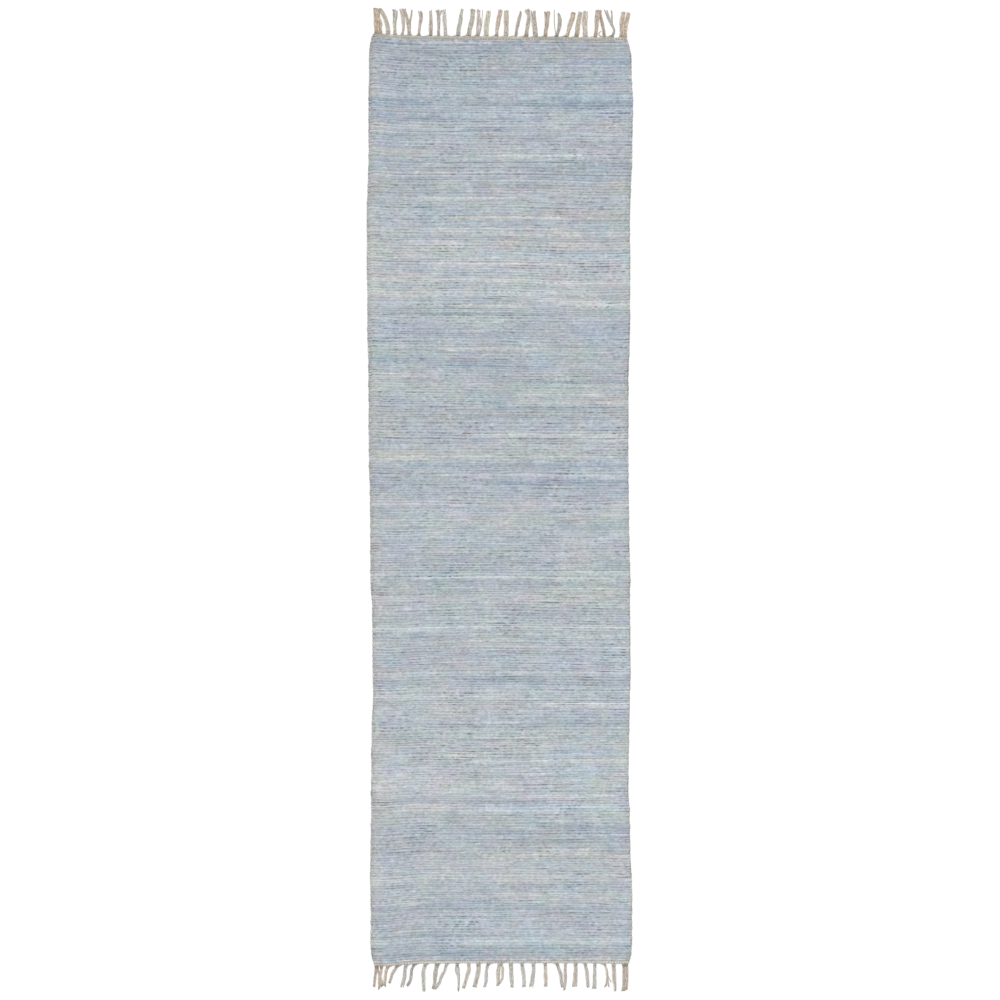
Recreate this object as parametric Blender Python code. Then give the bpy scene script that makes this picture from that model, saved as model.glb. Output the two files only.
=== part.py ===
"""A hand-woven rag runner: its flat cloth, and at each end a narrow cotton heading with a knotted fringe.

Metres, +Z up. X runs across the rug and +Y along it, towards the head end. The rug lies on Z = 0, with the
middle of its whole outline over the origin. The tables below are in millimetres.
"""

from typing import NamedTuple

import bmesh
import bpy
import numpy as np
from mathutils import Vector

MM = 0.001

WIDTH = 0.700  # between the selvedges, on the average
LENGTH = 2.500  # over both headings, without the fringe
CLOTH_THICK = 0.006  # rag wefts beaten close together
CLOTH_RIM = 0.002  # rounding where the wefts turn back at the rim
RIM_STEPS = 1
EDGE_STEPS = 2  # straight runs between two stations of the edge
HEADING_THICK = 0.004  # cotton yarn only, so thinner than the rags
PARTING = 0.0003  # between the cloth and each heading
CORNER_ROOM = 0.012  # the selvedge runs straight this near to a corner
STRAND_TOP = 0.62  # width of a strand's top as a share of its flat underside
TAIL_FILL = 0.82  # how much of its share of the bundle a parted tail fills
HEAD, FOOT = 1, -1  # the two ends, as directions along Y


class Side(NamedTuple):
    """One station along the rug: how far each selvedge lies beyond half the width."""

    station: float
    left: float
    right: float


class End(NamedTuple):
    """One station across an end: how far the heading's edge lies beyond half the length, and its depth."""

    station: float
    beyond: float
    depth: float


class Lock(NamedTuple):
    """One fringe lock: where it runs across the rug at its root, half way and tip, its reach past the
    heading, its width, the share of its reach where it parts, and each tail's sideways drift."""

    root: float
    middle: float
    tip: float
    reach: float
    width: float
    parting: float = 1.0
    tails: tuple = (0.0,)


class Girth(NamedTuple):
    """A lock's section at a share of its reach: its width as a share of the lock's, and its height."""

    share: float
    width: float
    height: float


# The selvedges wander, and draw in at the four corners.
SIDES = (
    Side(-1262, -11, -5),
    Side(-1250, -8, -1),
    Side(-1230, -3, 4),
    Side(-1190, 0, 7),
    Side(-1080, -1, 7),
    Side(-1030, 1, 6),
    Side(-950, 0, 2),
    Side(-860, -2, 1),
    Side(-780, -2, -3),
    Side(-620, -3, -1),
    Side(-540, -7, 1),
    Side(-460, -6, 3),
    Side(-300, -5, 1),
    Side(-215, 0, 2),
    Side(-135, 0, 0),
    Side(0, 1, -2),
    Side(100, 4, -3),
    Side(190, 5, -3),
    Side(350, 5, -3),
    Side(430, 8, 1),
    Side(590, 9, 2),
    Side(740, 10, 1),
    Side(800, 10, 2),
    Side(860, 7, 4),
    Side(915, 5, 7),
    Side(1000, 5, 8),
    Side(1080, 5, 10),
    Side(1130, 4, 6),
    Side(1195, 4, 5),
    Side(1228, 2, 0),
    Side(1245, -2, -6),
    Side(1262, -6, -9),
)

# Each end is a little askew: the left corners reach furthest. The stations lie between the locks' roots.
ENDS = {
    HEAD: (
        End(-344, 6, 6),
        End(-337, 10, 7),
        End(-270, 5, 8),
        End(-200, 4, 9),
        End(0, 2.5, 9.5),
        End(270, 0, 9),
        End(343, 0, 8),
    ),
    FOOT: (
        End(-339, 8, 6),
        End(-312, 9, 6.5),
        End(-265, 5, 6.5),
        End(-215, 2, 6.5),
        End(15, 1, 6),
        End(250, 1, 6),
        End(330, 3.5, 8),
        End(347, 2, 7),
    ),
}

LOCKS = {
    HEAD: (
        Lock(-327, -329, -333, 71.4, 15, 0.2, (-0.5, 0.5)),
        Lock(-302, -305, -318, 67, 6),
        Lock(-282, -283, -280, 68, 7, 0.72, (-2.5, 2.5)),
        Lock(-262, -260, -261, 71, 6, 0.6, (-4.5, 3)),
        Lock(-242, -245, -243, 69, 6, 0.55, (-3, 6)),
        Lock(-216, -215, -214, 71, 7, 0.72, (-3, 3)),
        Lock(-186, -184, -184, 68, 6),
        Lock(-165, -165, -165, 70, 7, 0.72, (-3, 0, 3)),
        Lock(-144, -148, -151, 71, 7),
        Lock(-112, -107, -100, 73, 6),
        Lock(-83, -77, -73, 72, 7),
        Lock(-58, -56, -54, 71, 9, 0.2, (-1, 6)),
        Lock(-33, -35, -28, 68, 9),
        Lock(-9, -5, 4, 72, 7, 0.86, (-1, 1)),
        Lock(19, 19, 18, 72, 9),
        Lock(46, 50, 59, 67, 5),
        Lock(74, 76, 76, 71, 7, 0.72, (-5, 0)),
        Lock(99, 96, 94, 66, 8),
        Lock(124, 127, 130, 66, 9, 0.72, (-1.5, 1.5)),
        Lock(152, 165, 159, 61, 5),
        Lock(184, 192, 198, 65, 8, 0.86, (-1, 1)),
        Lock(208, 211, 219, 65, 7),
        Lock(235, 231, 233, 67, 9, 0.72, (-1.5, 1.5)),
        Lock(257, 261, 263, 70, 8),
        Lock(283, 277, 274, 67, 6),
        Lock(309, 305, 294, 70, 8, 0.5, (-5.5, 0, 5.5)),
        Lock(333, 336, 342, 66, 15, 0.35, (-2, 3)),
    ),
    FOOT: (
        Lock(-333, -335, -339, 61, 6),
        Lock(-322, -322, -320, 63, 9, 0.35, (-3, 3)),
        Lock(-300, -306, -307, 55, 6),
        Lock(-276, -288, -298, 53, 5),
        Lock(-253, -257, -264, 62, 6),
        Lock(-229, -239, -248, 62, 6),
        Lock(-199, -206, -204, 77, 7),
        Lock(-166, -173, -179, 72, 6),
        Lock(-141, -150, -167, 74, 5),
        Lock(-114, -112, -111, 77, 7),
        Lock(-82, -87, -98, 70, 6),
        Lock(-57, -60, -67, 68, 8),
        Lock(-30, -36, -40, 67, 5),
        Lock(3, 3, -2, 63, 12, 0.2, (0, -1)),
        Lock(31, 32, 34, 66, 6),
        Lock(61, 64, 67, 67, 6),
        Lock(93, 92, 85, 66, 7),
        Lock(123, 124, 126, 65, 6),
        Lock(150, 164, 168, 65, 6),
        Lock(178, 179, 177, 75, 5),
        Lock(206, 206, 202, 64, 9),
        Lock(231, 235, 239, 66, 6),
        Lock(258, 258, 258, 72, 6, 0.86, (-2, 2)),
        Lock(284, 289, 292, 64, 7, 0.72, (-4, 1, 5)),
        Lock(308, 312, 313, 77, 7),
        Lock(338, 341, 339, 78, 14, 0.35, (-1.5, 1.5)),
    ),
}

# Out of the heading, through an overhand knot, and on to a tip that thins out on the floor.
ROOT_WIDTH = 0.85
GIRTHS = (
    Girth(0.03, 0.80, 4.2),
    Girth(0.07, 1.20, 6.0),
    Girth(0.13, 1.25, 6.6),
    Girth(0.18, 0.80, 5.2),
    Girth(0.35, 0.95, 4.8),
    Girth(0.55, 1.00, 4.6),
    Girth(0.72, 0.95, 4.4),
    Girth(0.86, 0.90, 4.0),
    Girth(1.00, 0.70, 3.0),
)

RAG_BLUE = (0.449, 0.492, 0.527)
COTTON_BEIGE = (0.515, 0.456, 0.376)


def along(rows, column, at):
    """The value of a table's column at a place between its stations, in millimetres."""
    stations = [row.station for row in rows]
    values = [getattr(row, column) for row in rows]
    return float(np.interp(at, stations, values))


def selvedge(y, side):
    """X of the left (-1) or right (1) selvedge at y, in metres."""
    column = "left" if side < 0 else "right"
    return side * (WIDTH / 2 + along(SIDES, column, y / MM) * MM)


def heading_edge(end, x):
    """Y of the heading's outer edge at x."""
    return end * (LENGTH / 2 + along(ENDS[end], "beyond", x / MM) * MM)


def heading_seam(end, x):
    """Y of the heading's inner edge at x, where it meets the cloth."""
    return heading_edge(end, x) - end * along(ENDS[end], "depth", x / MM) * MM


def finish(name, colour, roughness):
    """A plain cloth material."""
    material = bpy.data.materials.new(name)
    material.use_nodes = True
    shader = material.node_tree.nodes["Principled BSDF"]
    shader.inputs["Base Color"].default_value = (*colour, 1.0)
    shader.inputs["Roughness"].default_value = roughness
    shader.inputs["Metallic"].default_value = 0.0
    return material


def cloth_corner(end, side):
    """The cloth's corner beside a heading."""
    rows = ENDS[end]
    x = (rows[0] if side < 0 else rows[-1]).station * MM
    y = heading_seam(end, x) - end * PARTING
    return Vector((selvedge(y, side), y))


def cloth_outline():
    """The cloth's outline, clockwise from its left foot corner, as (point, is it on a selvedge) pairs."""
    points = []
    for side, end in ((-1, HEAD), (1, FOOT)):
        start, stop = cloth_corner(-end, side), cloth_corner(end, side)
        points.append((start, False))
        for row in SIDES[::end]:
            y = row.station * MM
            if abs(y) < min(abs(start.y), abs(stop.y)) - CORNER_ROOM:
                points.append((Vector((selvedge(y, side), y)), True))
        points.append((stop, False))
        for row in ENDS[end][1:-1][::end]:
            x = row.station * MM
            points.append((Vector((x, heading_seam(end, x) - end * PARTING)), False))
    return points


def make_cloth(name, material):
    """The woven cloth, as a filled flat outline with a rounded rim."""
    curve = bpy.data.curves.new(name, "CURVE")
    curve.dimensions = "2D"
    curve.fill_mode = "BOTH"
    curve.resolution_u = EDGE_STEPS
    curve.extrude = CLOTH_THICK / 2 - CLOTH_RIM
    curve.bevel_depth = CLOTH_RIM
    curve.bevel_resolution = RIM_STEPS
    curve.offset = -CLOTH_RIM
    outline = cloth_outline()
    spline = curve.splines.new("BEZIER")
    spline.bezier_points.add(len(outline) - 1)
    spline.use_cyclic_u = True
    for bezier, (point, on_selvedge) in zip(spline.bezier_points, outline):
        bezier.co = (point.x, point.y, 0)
        handle = "AUTO" if on_selvedge else "VECTOR"
        bezier.handle_left_type = handle
        bezier.handle_right_type = handle
    curve.materials.append(material)
    cloth = bpy.data.objects.new(name, curve)
    cloth.location.z = CLOTH_THICK / 2
    return cloth


def heading_stations(end):
    """X of every place where the heading's edge bends or a lock's root begins or ends."""
    bends = [row.station for row in ENDS[end]]
    roots = [lock.root + side * lock.width * ROOT_WIDTH / 2 for lock in LOCKS[end] for side in (-1, 1)]
    return [x * MM for x in sorted(bends + roots)]


def add_heading(form, end):
    """The heading's strip: a grid one face deep, laid between its two edges and raised to its thickness."""
    stations = heading_stations(end)
    grid = bmesh.ops.create_grid(form, x_segments=len(stations) - 1, y_segments=1, size=1)
    columns = sorted(grid["verts"], key=lambda vert: (round(vert.co.x, 6), end * vert.co.y))
    for index, x in enumerate(stations):
        inner, outer = columns[2 * index], columns[2 * index + 1]
        outer.co = (x, heading_edge(end, x), 0)
        seam = heading_seam(end, x)
        is_rim = index in (0, len(stations) - 1)
        inner.co = (selvedge(seam, -1 if index == 0 else 1) if is_rim else x, seam, 0)
    raised = bmesh.ops.extrude_face_region(form, geom=form.faces[:])
    top = [item for item in raised["geom"] if isinstance(item, bmesh.types.BMVert)]
    bmesh.ops.translate(form, verts=top, vec=(0, 0, HEADING_THICK))
    bmesh.ops.recalc_face_normals(form, faces=form.faces[:])


def root_faces(form, end):
    """The face on the heading's outer edge that each lock grows from."""
    outward = [face for face in form.faces if end * face.normal.y > abs(face.normal.x) + abs(face.normal.z)]
    for lock in LOCKS[end]:
        yield min(outward, key=lambda face: abs(face.calc_center_median().x - lock.root * MM))


def place_end(face, centre, across, width, height):
    """Lays a strand's end face across its path: the underside on the floor, the top narrower."""
    low_to_high = sorted(face.verts, key=lambda vert: vert.co.z)
    levels = ((low_to_high[:2], 0.0, 1.0), (low_to_high[2:], height, STRAND_TOP))
    for pair, z, share in levels:
        for vert, side in zip(sorted(pair, key=lambda vert: vert.co.x), (-1, 1)):
            spot = centre + across * (side * width * share / 2)
            vert.co = (spot.x, spot.y, z)


def grow(form, face):
    """Draws a new length of strand out of its end face."""
    return bmesh.ops.extrude_discrete_faces(form, faces=[face])["faces"][0]


def part_end(form, face, count):
    """Splits a strand's end face side by side into count faces, from left to right."""
    for step in range(count - 1):
        low_to_high = sorted(face.verts, key=lambda vert: vert.co.z)
        cuts = []
        for pair in (low_to_high[:2], low_to_high[2:]):
            left, right = sorted(pair, key=lambda vert: vert.co.x)
            edge = next(edge for edge in face.edges if left in edge.verts and right in edge.verts)
            cuts.append(bmesh.utils.edge_split(edge, left, 1 / (count - step))[1])
        halves = (face, bmesh.utils.face_split(face, *cuts)[0])
        left_half, face = sorted(halves, key=lambda half: half.calc_center_median().x)
        yield left_half
    yield face


def lock_path(end, lock, share):
    """Centre of a lock and the direction across it, at a share of its reach: a bow through three places."""
    bow = 2 * (lock.root - 2 * lock.middle + lock.tip)
    lean = lock.tip - lock.root - bow
    x = (lock.root + share * (lean + share * bow)) * MM
    y = heading_edge(end, lock.root * MM) + end * share * lock.reach * MM
    slope = (lean + 2 * share * bow) / lock.reach
    return Vector((x, y)), Vector((1, -end * slope)).normalized()


def add_lock(form, face, end, lock):
    """A knotted lock of warp ends that grows from its root face along the floor, and may part into tails."""
    whole = [girth for girth in GIRTHS if girth.share <= lock.parting]
    parted = [girth for girth in GIRTHS if girth.share > lock.parting]
    for girth in whole:
        face = grow(form, face)
        centre, across = lock_path(end, lock, girth.share)
        place_end(face, centre, across, lock.width * girth.width * MM, girth.height * MM)
    if not parted:
        return
    start = whole[-1].share
    count = len(lock.tails)
    for index, tail in enumerate(part_end(form, face, count)):
        place_in_bundle = (index - (count - 1) / 2) * lock.width / count
        for girth in parted:
            tail = grow(form, tail)
            centre, across = lock_path(end, lock, girth.share)
            drift = lock.tails[index] * (girth.share - start) / (1 - start)
            width = lock.width * girth.width / count * TAIL_FILL
            spot = centre + across * (place_in_bundle + drift) * MM
            place_end(tail, spot, across, width * MM, girth.height * MM)


def make_fringe(name, end, material):
    """One end's heading with all its locks, as one closed body."""
    form = bmesh.new()
    add_heading(form, end)
    for face, lock in zip(list(root_faces(form, end)), LOCKS[end]):
        add_lock(form, face, end, lock)
    bmesh.ops.recalc_face_normals(form, faces=form.faces[:])
    mesh = bpy.data.meshes.new(name)
    form.to_mesh(mesh)
    form.free()
    mesh.materials.append(material)
    return bpy.data.objects.new(name, mesh)


def main():
    for old in list(bpy.data.objects):
        bpy.data.objects.remove(old, do_unlink=True)
    rug = bpy.data.collections.new("rag_rug")
    bpy.context.scene.collection.children.link(rug)
    cotton = finish("cotton_warp", COTTON_BEIGE, 0.9)
    rug.objects.link(make_cloth("woven_cloth", finish("rag_weft", RAG_BLUE, 0.92)))
    rug.objects.link(make_fringe("head_fringe", HEAD, cotton))
    rug.objects.link(make_fringe("foot_fringe", FOOT, cotton))


main()
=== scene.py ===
"""The looks of a hand-woven rag runner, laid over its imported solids.

Metres, +Z up. X runs across the rug and +Y along it, towards the head end, with the floor at Z = 0.
The cloth is a skin with every pick of rag weft in relief, in seven bands along its length. At each
end a narrow cotton heading is knotted off into fringe locks, each a bundle of twisted warp ends.
Places in the tables are in millimetres, and the cloth's tones in 8-bit steps of the picture.
"""

import logging
from dataclasses import dataclass
from enum import Enum
from typing import Any, Mapping, NamedTuple, Optional, Sequence, TypeVar, Union

import bpy
import numpy as np
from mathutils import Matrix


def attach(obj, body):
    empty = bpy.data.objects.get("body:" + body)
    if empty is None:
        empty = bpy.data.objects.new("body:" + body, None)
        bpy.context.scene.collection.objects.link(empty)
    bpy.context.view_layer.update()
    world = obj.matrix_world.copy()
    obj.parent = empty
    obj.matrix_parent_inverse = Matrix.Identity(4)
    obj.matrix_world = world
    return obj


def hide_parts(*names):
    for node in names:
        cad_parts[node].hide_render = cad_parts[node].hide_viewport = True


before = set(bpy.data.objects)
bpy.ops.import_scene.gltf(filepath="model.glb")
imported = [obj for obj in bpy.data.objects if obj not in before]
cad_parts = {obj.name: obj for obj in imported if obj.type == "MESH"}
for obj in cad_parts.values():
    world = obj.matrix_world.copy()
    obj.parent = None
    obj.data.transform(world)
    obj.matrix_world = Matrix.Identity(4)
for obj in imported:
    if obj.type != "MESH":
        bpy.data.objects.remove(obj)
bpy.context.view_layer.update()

LOG = logging.getLogger("rag_runner")
MM = 0.001
FLOOR_LIGHT = 1.22  # the studio light on a white surface, where 1 shows as a full white

Colour = tuple[float, float, float]
Key = Union[int, str]
Row = TypeVar("Row", bound=tuple)


class End(Enum):
    """The rug's two ends, as directions along Y."""

    HEAD = 1
    FOOT = -1


class Side(NamedTuple):
    """One station along the rug: how far each selvedge lies beyond half the width."""

    station: float
    left: float
    right: float


class Brink(NamedTuple):
    """One station across an end: how far the heading lies beyond half the length, and its depth."""

    station: float
    beyond: float
    depth: float


class Strand(NamedTuple):
    """One strand of a lock: where it runs across the rug, at even steps from its root to its tip,
    its reach past the heading, its width, its tip's share of that width, and how much it frays."""

    path: tuple[float, ...]
    reach: float
    width: float
    tip: float = 1.0
    fray: float = 1.0


class Lock(NamedTuple):
    """One fringe lock: how far its foot leans in the heading, its cast, from pink at 0 to green at
    1, how warm it is, from grey at 0 to tan at 1, how soiled it is beside the rest, how dark its
    knot is in soil and painted shade, from 0 to 1, and its strands."""

    foot: float
    cast: float
    warm: float
    soiled: float
    knot_soil_and_shade: float
    strands: tuple[Strand, ...]


class Tinge(NamedTuple):
    """How much more soiled, warm and green a heading is at one station across the rug."""

    station: float
    soil: float
    warm: float
    green: float


class Shade(NamedTuple):
    """How much lighter and bluer the weaving is than its mean at one station along the rug."""

    station: float
    light: float
    blue: float


class Layer(NamedTuple):
    """One layer of unevenness in the weaving: how many picks and columns it is smoothed over, its
    spread, and the most that it comes to."""

    picks: float
    columns: float
    spread: float
    most: float = np.inf


Layers = tuple[Layer, ...]


class Tone(NamedTuple):
    """How light, how blue and how green a rag is beside the mean."""

    light: float
    blue: float
    green: float


class Heap(Enum):
    """The sorts of cloth that the weft strips were torn from."""

    GREY_BLUE = Tone(-1.0, 0.5, 0.0)
    PALE_BLUE = Tone(6.0, 1.0, 0.0)
    SLATE = Tone(-9.0, 4.0, 0.0)
    OFF_WHITE = Tone(13.0, -3.0, 0.0)
    CREAM = Tone(12.0, -12.0, 0.5)
    DOVE = Tone(-2.0, -4.0, 0.3)
    ROSE = Tone(1.0, 0.0, -3.5)
    SAGE = Tone(-1.0, -1.5, 3.5)
    DENIM = Tone(-8.0, 10.0, 0.0)
    SKY = Tone(1.0, 9.0, 0.0)
    STRAW = Tone(1.0, -10.0, 0.5)


class Streak(NamedTuple):
    """Picks that stand out: where along the rug, from where to where across it, and how many."""

    station: float
    start: float
    stop: float
    picks: int = 1


def table(kind: type[Row], *rows: tuple) -> tuple[Row, ...]:
    """A table of one kind of row, from the plain values of each."""
    return tuple(kind(*row) for row in rows)


def locks(*rows: tuple) -> tuple[Lock, ...]:
    """A table of locks, each from its own plain values and those of its strands."""
    return tuple(Lock(*own, table(Strand, *strands)) for own, *strands in rows)


SIDES = table(
    Side,
    (-1262, -11, -5), (-1250, -8, -1), (-1230, -3, 4), (-1190, 0, 7), (-1080, -1, 7), (-1030, 1, 6),
    (-950, 0, 2), (-860, -2, 1), (-780, -2, -3), (-620, -3, -1), (-540, -7, 1), (-460, -6, 3),
    (-300, -5, 1), (-215, 0, 2), (-135, 0, 0), (0, 1, -2), (100, 4, -3), (190, 5, -3), (350, 5, -3),
    (430, 8, 1), (590, 9, 2), (740, 10, 1), (800, 10, 2), (860, 7, 4), (915, 5, 7), (1000, 5, 8),
    (1080, 5, 10), (1130, 4, 6), (1195, 4, 5), (1228, 2, 0), (1245, -2, -6), (1262, -6, -9),
)

BRINKS = {
    End.HEAD: table(
        Brink,
        (-344, 6, 6), (-337, 10, 7), (-270, 5, 8), (-200, 4, 9), (0, 2.5, 9.5), (270, 0, 9),
        (343, 0, 8),
    ),
    End.FOOT: table(
        Brink,
        (-339, 8, 6), (-312, 9, 6.5), (-265, 5, 6.5), (-215, 2, 6.5), (15, 1, 6), (250, 1, 6),
        (330, 3.5, 8), (347, 2, 7),
    ),
}

LOCKS = {
    End.HEAD: locks(
        (
            (0, 0.35, 0.95, 0.15, 0.1),
            ((-334, -335, -336, -337, -337), 71, 7),
            ((-324, -323, -325, -323, -326, -329, -330, -330, -329), 71, 7, 1.2),
        ),
        (
            (-2, 0.5, 0.45, 0, 0),
            ((-304, -302, -303, -305, -308, -310, -314, -319, -325), 71, 9, 0.9),
        ),
        (
            (0, 0.65, 0.5, 0.05, 0),
            ((-284, -284, -285, -285, -286), 70, 6, 1.1),
            ((-283, -284, -283, -279, -278), 67, 3.5, 0.7),
        ),
        (
            (0, 0.4, 0.55, 0.1, 0),
            ((-265, -262, -263, -265, -271), 73, 3.5, 0.9),
            ((-264, -261, -261, -261, -263), 73, 4.5),
        ),
        (
            (0, 0.35, 0.55, 0.15, 0),
            ((-246, -247, -249, -253, -258), 73, 5),
            ((-243, -244, -244, -240, -238), 69, 4, 0.7, 0.6),
        ),
        (
            (-2, 0.15, 0.3, 0.3, 0),
            ((-220, -219, -217, -216, -220), 68, 3.5, 0.8),
            ((-219, -218, -216, -214, -213), 68, 3.5, 0.8),
            ((-218, -217, -215, -211, -209), 62, 2.5, 0.7),
        ),
        ((-5, 0.25, 0.5, 0.05, 0.2), ((-187, -187, -187, -187, -187), 69, 7, 0.85, 0.7)),
        (
            (0, 0.05, 0.3, 0.15, 0),
            ((-166, -166, -166, -166, -168), 71, 5.5, 1.3, 1.6),
            ((-166, -166, -165, -163, -157), 71, 2),
        ),
        ((6, 0.5, 0.25, -0.15, 0.1), ((-147, -148, -149, -150, -152), 72, 7, 1.1, 1.3)),
        ((-6, 0.9, 0.3, 0, 0.1), ((-113, -112, -108, -106, -101), 74, 8.5, 0.65, 0.6)),
        (
            (-7, 0.6, 0.45, 0.05, 0.1),
            ((-85, -82, -77, -74, -75), 74, 9, 1, 1.6),
            ((-84, -81, -77, -72, -66), 73, 2.5),
        ),
        (
            (-4, 0.25, 0.25, -0.05, 0.3),
            ((-62, -61, -61, -59, -60), 72, 4.5, 1, 1.2),
            ((-59, -54, -52, -56, -56), 72, 4),
            ((-59, -52, -49, -48, -47), 72, 1.2, 1, 0.3),
        ),
        ((0, 0.95, 0.55, -0.15, 0), ((-37, -37, -36, -33, -30), 69, 10)),
        (
            (-5, 0, 0.65, 0.1, 0.2),
            ((-10, -9, -8, -4, 0), 73, 5, 1, 1.3),
            ((-8, -7, -3, 1, 6), 72, 4.5, 0.9, 1.3),
        ),
        ((-2, 0.4, 0.5, 0, 0), ((16, 17, 17, 17, 17), 71, 9.5, 1, 0.7)),
        ((-7, 0.15, 0.25, 0.1, 0), ((43, 45, 49, 53, 57), 68, 5.5)),
        (
            (-7, 0.65, 0.45, 0.15, 0.2),
            ((71, 73, 76, 78, 74), 74, 7.5, 0.8, 1.2),
            ((71, 73, 75, 76, 67), 72, 3),
            ((72, 74, 78, 79, 81), 73, 2.5),
        ),
        ((0, 0.4, 0.35, 0.1, 0), ((96, 95, 93, 91, 90), 71, 10)),
        (
            (-4, 0.4, 0.7, 0.2, 0.1),
            ((122, 123, 125, 125, 122), 69, 5.5, 0.9),
            ((124, 125, 128, 130, 133), 70, 5.5),
        ),
        (
            (-8, 0.65, 0.25, 0.2, 0.4),
            ((153, 158, 162, 164, 158), 65, 5, 0.8, 0.8),
            ((152, 155, 157, 158, 157), 61, 2.3, 1, 0.6),
            ((152, 149, 147, 147, 147), 75, 1.2, 1, 0.3),
        ),
        (
            (-8, 0.45, 0.75, 0.1, 0),
            ((179, 184, 188, 193, 195), 68, 5.5),
            ((181, 186, 192, 198, 201), 67, 5.5),
        ),
        ((-3, 0.65, 0.8, 0.1, 0.4), ((206, 209, 211, 214, 218), 69, 9, 1, 0.7)),
        ((0, 0.35, 0.5, -0.1, 0), ((231, 230, 229, 230, 232), 71, 10.5, 1.1, 1.2)),
        ((-4, 0.35, 0.8, 0.1, 0.1), ((257, 260, 261, 262, 263), 75, 7.5, 1.1, 0.7)),
        (
            (0, 0.25, 0.65, 0.2, 0.2),
            ((282, 280, 276, 271, 270), 74, 6.5, 1.1, 0.7),
            ((279, 271, 266, 269, 273), 17, 1.2, 1, 0.2),
        ),
        (
            (-5, 0.45, 0.15, 0.3, 0),
            ((301, 308, 299, 290, 282), 75, 3, 0.8, 0.5),
            ((302, 309, 301, 294, 289), 74, 3, 0.8, 0.5),
            ((303, 310, 303, 303, 301), 75, 3, 0.9, 0.5),
        ),
        (
            (0, 0.45, 0.85, 0.05, 0.1),
            ((329, 329, 329, 331, 334), 69, 9, 0.9, 1.2),
            ((337, 338, 340, 344, 348), 68, 9, 0.9, 1.2),
        ),
    ),
    End.FOOT: locks(
        (
            (0, 0.2, 0.65, 0.2, 0.5),
            ((-335, -336, -338, -339, -340), 59, 5),
            ((-332, -330, -325, -321, -317), 55, 4.5, 0.9),
        ),
        (
            (0, 0.3, 0.7, 0.25, 0.2),
            ((-321, -321, -325, -326, -327), 64, 5, 0.8, 0.7),
            ((-320, -320, -324, -322, -320), 59, 3, 0.8, 0.7),
        ),
        (
            (3, 0.3, 0.55, 0.05, 0.3),
            ((-302, -308, -310, -312, -314), 55, 5, 0.8, 0.8),
            ((-301, -306, -309, -310, -308), 59, 3, 0.7, 0.8),
        ),
        ((3, 0.25, 0.3, 0, 0.4), ((-276, -284, -291, -295, -299), 50, 5.5, 1, 0.5)),
        ((2, 0.35, 0.2, 0, 0.1), ((-253, -257, -258, -261, -265), 62, 7, 1.1, 0.6)),
        ((3, 0.35, 0.1, 0.2, 0.4), ((-231, -238, -240, -243, -251), 61, 5.2, 1.1, 0.7)),
        ((3, 0.7, 0.3, 0, 0.1), ((-201, -206, -207, -207, -205), 76, 7, 1, 0.7)),
        ((1, 0.65, 0.35, 0.1, 0.3), ((-169, -173, -176, -177, -182), 69, 8.5, 0.5, 0.5)),
        ((2, 0.3, 0.2, -0.05, 0.1), ((-144, -149, -157, -165, -177), 71, 5.3, 1.2, 0.5)),
        (
            (0, 0.6, 0.2, 0.15, 0.2),
            ((-116, -119, -112, -112, -112), 75, 3.5, 1, 0.5),
            ((-115, -111, -111, -111, -112), 76, 3.5, 1, 0.5),
        ),
        ((0, 0.5, 0.4, -0.15, 0.2), ((-85, -84, -89, -94, -99), 69, 6.5, 1, 0.5)),
        ((0, 0.3, 0.45, 0.05, 0.2), ((-58, -58, -61, -65, -69), 66, 8.5, 1, 0.6)),
        ((6, 0.25, 0.05, -0.1, 0.5), ((-31, -36, -37, -38, -42), 66, 5.7, 1, 0.6)),
        (
            (0, 0.55, 0.45, -0.1, 0.2),
            ((-1, -4, -5, -5, -6), 62, 7, 0.9, 0.8),
            ((3, 7, 7, 6, -1), 56, 4.5, 0.9, 0.5),
        ),
        ((0, 0.5, 0.3, 0, 0.1), ((29, 30, 31, 33, 33), 66, 8.3, 0.75, 0.6)),
        ((-2, 0.6, 0.2, -0.05, 0.3), ((59, 62, 64, 65, 65), 66, 7.3, 1.1, 0.6)),
        ((0, 0.3, 0.2, -0.1, 0.1), ((90, 91, 89, 87, 84), 66, 7.3, 1.3, 0.8)),
        ((-3, 0.35, 0.45, -0.1, 0.4), ((122, 123, 123, 124, 124), 65, 6.5, 1.1)),
        ((-6, 0.4, 0.25, 0.05, 0.2), ((154, 159, 164, 166, 169), 66, 6.5, 1, 0.7)),
        ((0, 0.1, 0.25, -0.05, 0), ((177, 177, 177, 176, 174), 74, 5.4, 0.9, 0.5)),
        ((0, 0, 0.45, 0, 0.1), ((204, 205, 204, 203, 202), 64, 7.5, 1.45, 0.8)),
        ((-3, 0.35, 0.2, 0.05, 0.1), ((230, 233, 236, 237, 238), 66, 6.5)),
        ((0, 0.45, 0.2, 0.05, 0.1), ((256, 256, 256, 256, 256), 71, 6.3, 1.3, 1.8)),
        (
            (-5, 0, 0.45, 0.15, 0),
            ((282, 287, 289, 289, 285), 64, 3.3, 1, 0.8),
            ((282, 288, 290, 292, 295), 65, 3.3, 1, 0.8),
            ((283, 288, 290, 294, 300), 50, 2, 1, 0.5),
        ),
        ((-2, 0.3, 0.4, 0.1, 0), ((307, 308, 309, 311, 311), 75, 8.3, 0.6, 0.5)),
        (
            (0, 0, 0.65, 0.1, 0.7),
            ((336, 336, 335, 335, 332), 75, 7.5, 0.9),
            ((341, 342, 342, 342, 341), 72, 7.5, 0.9),
        ),
    ),
}

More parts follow.
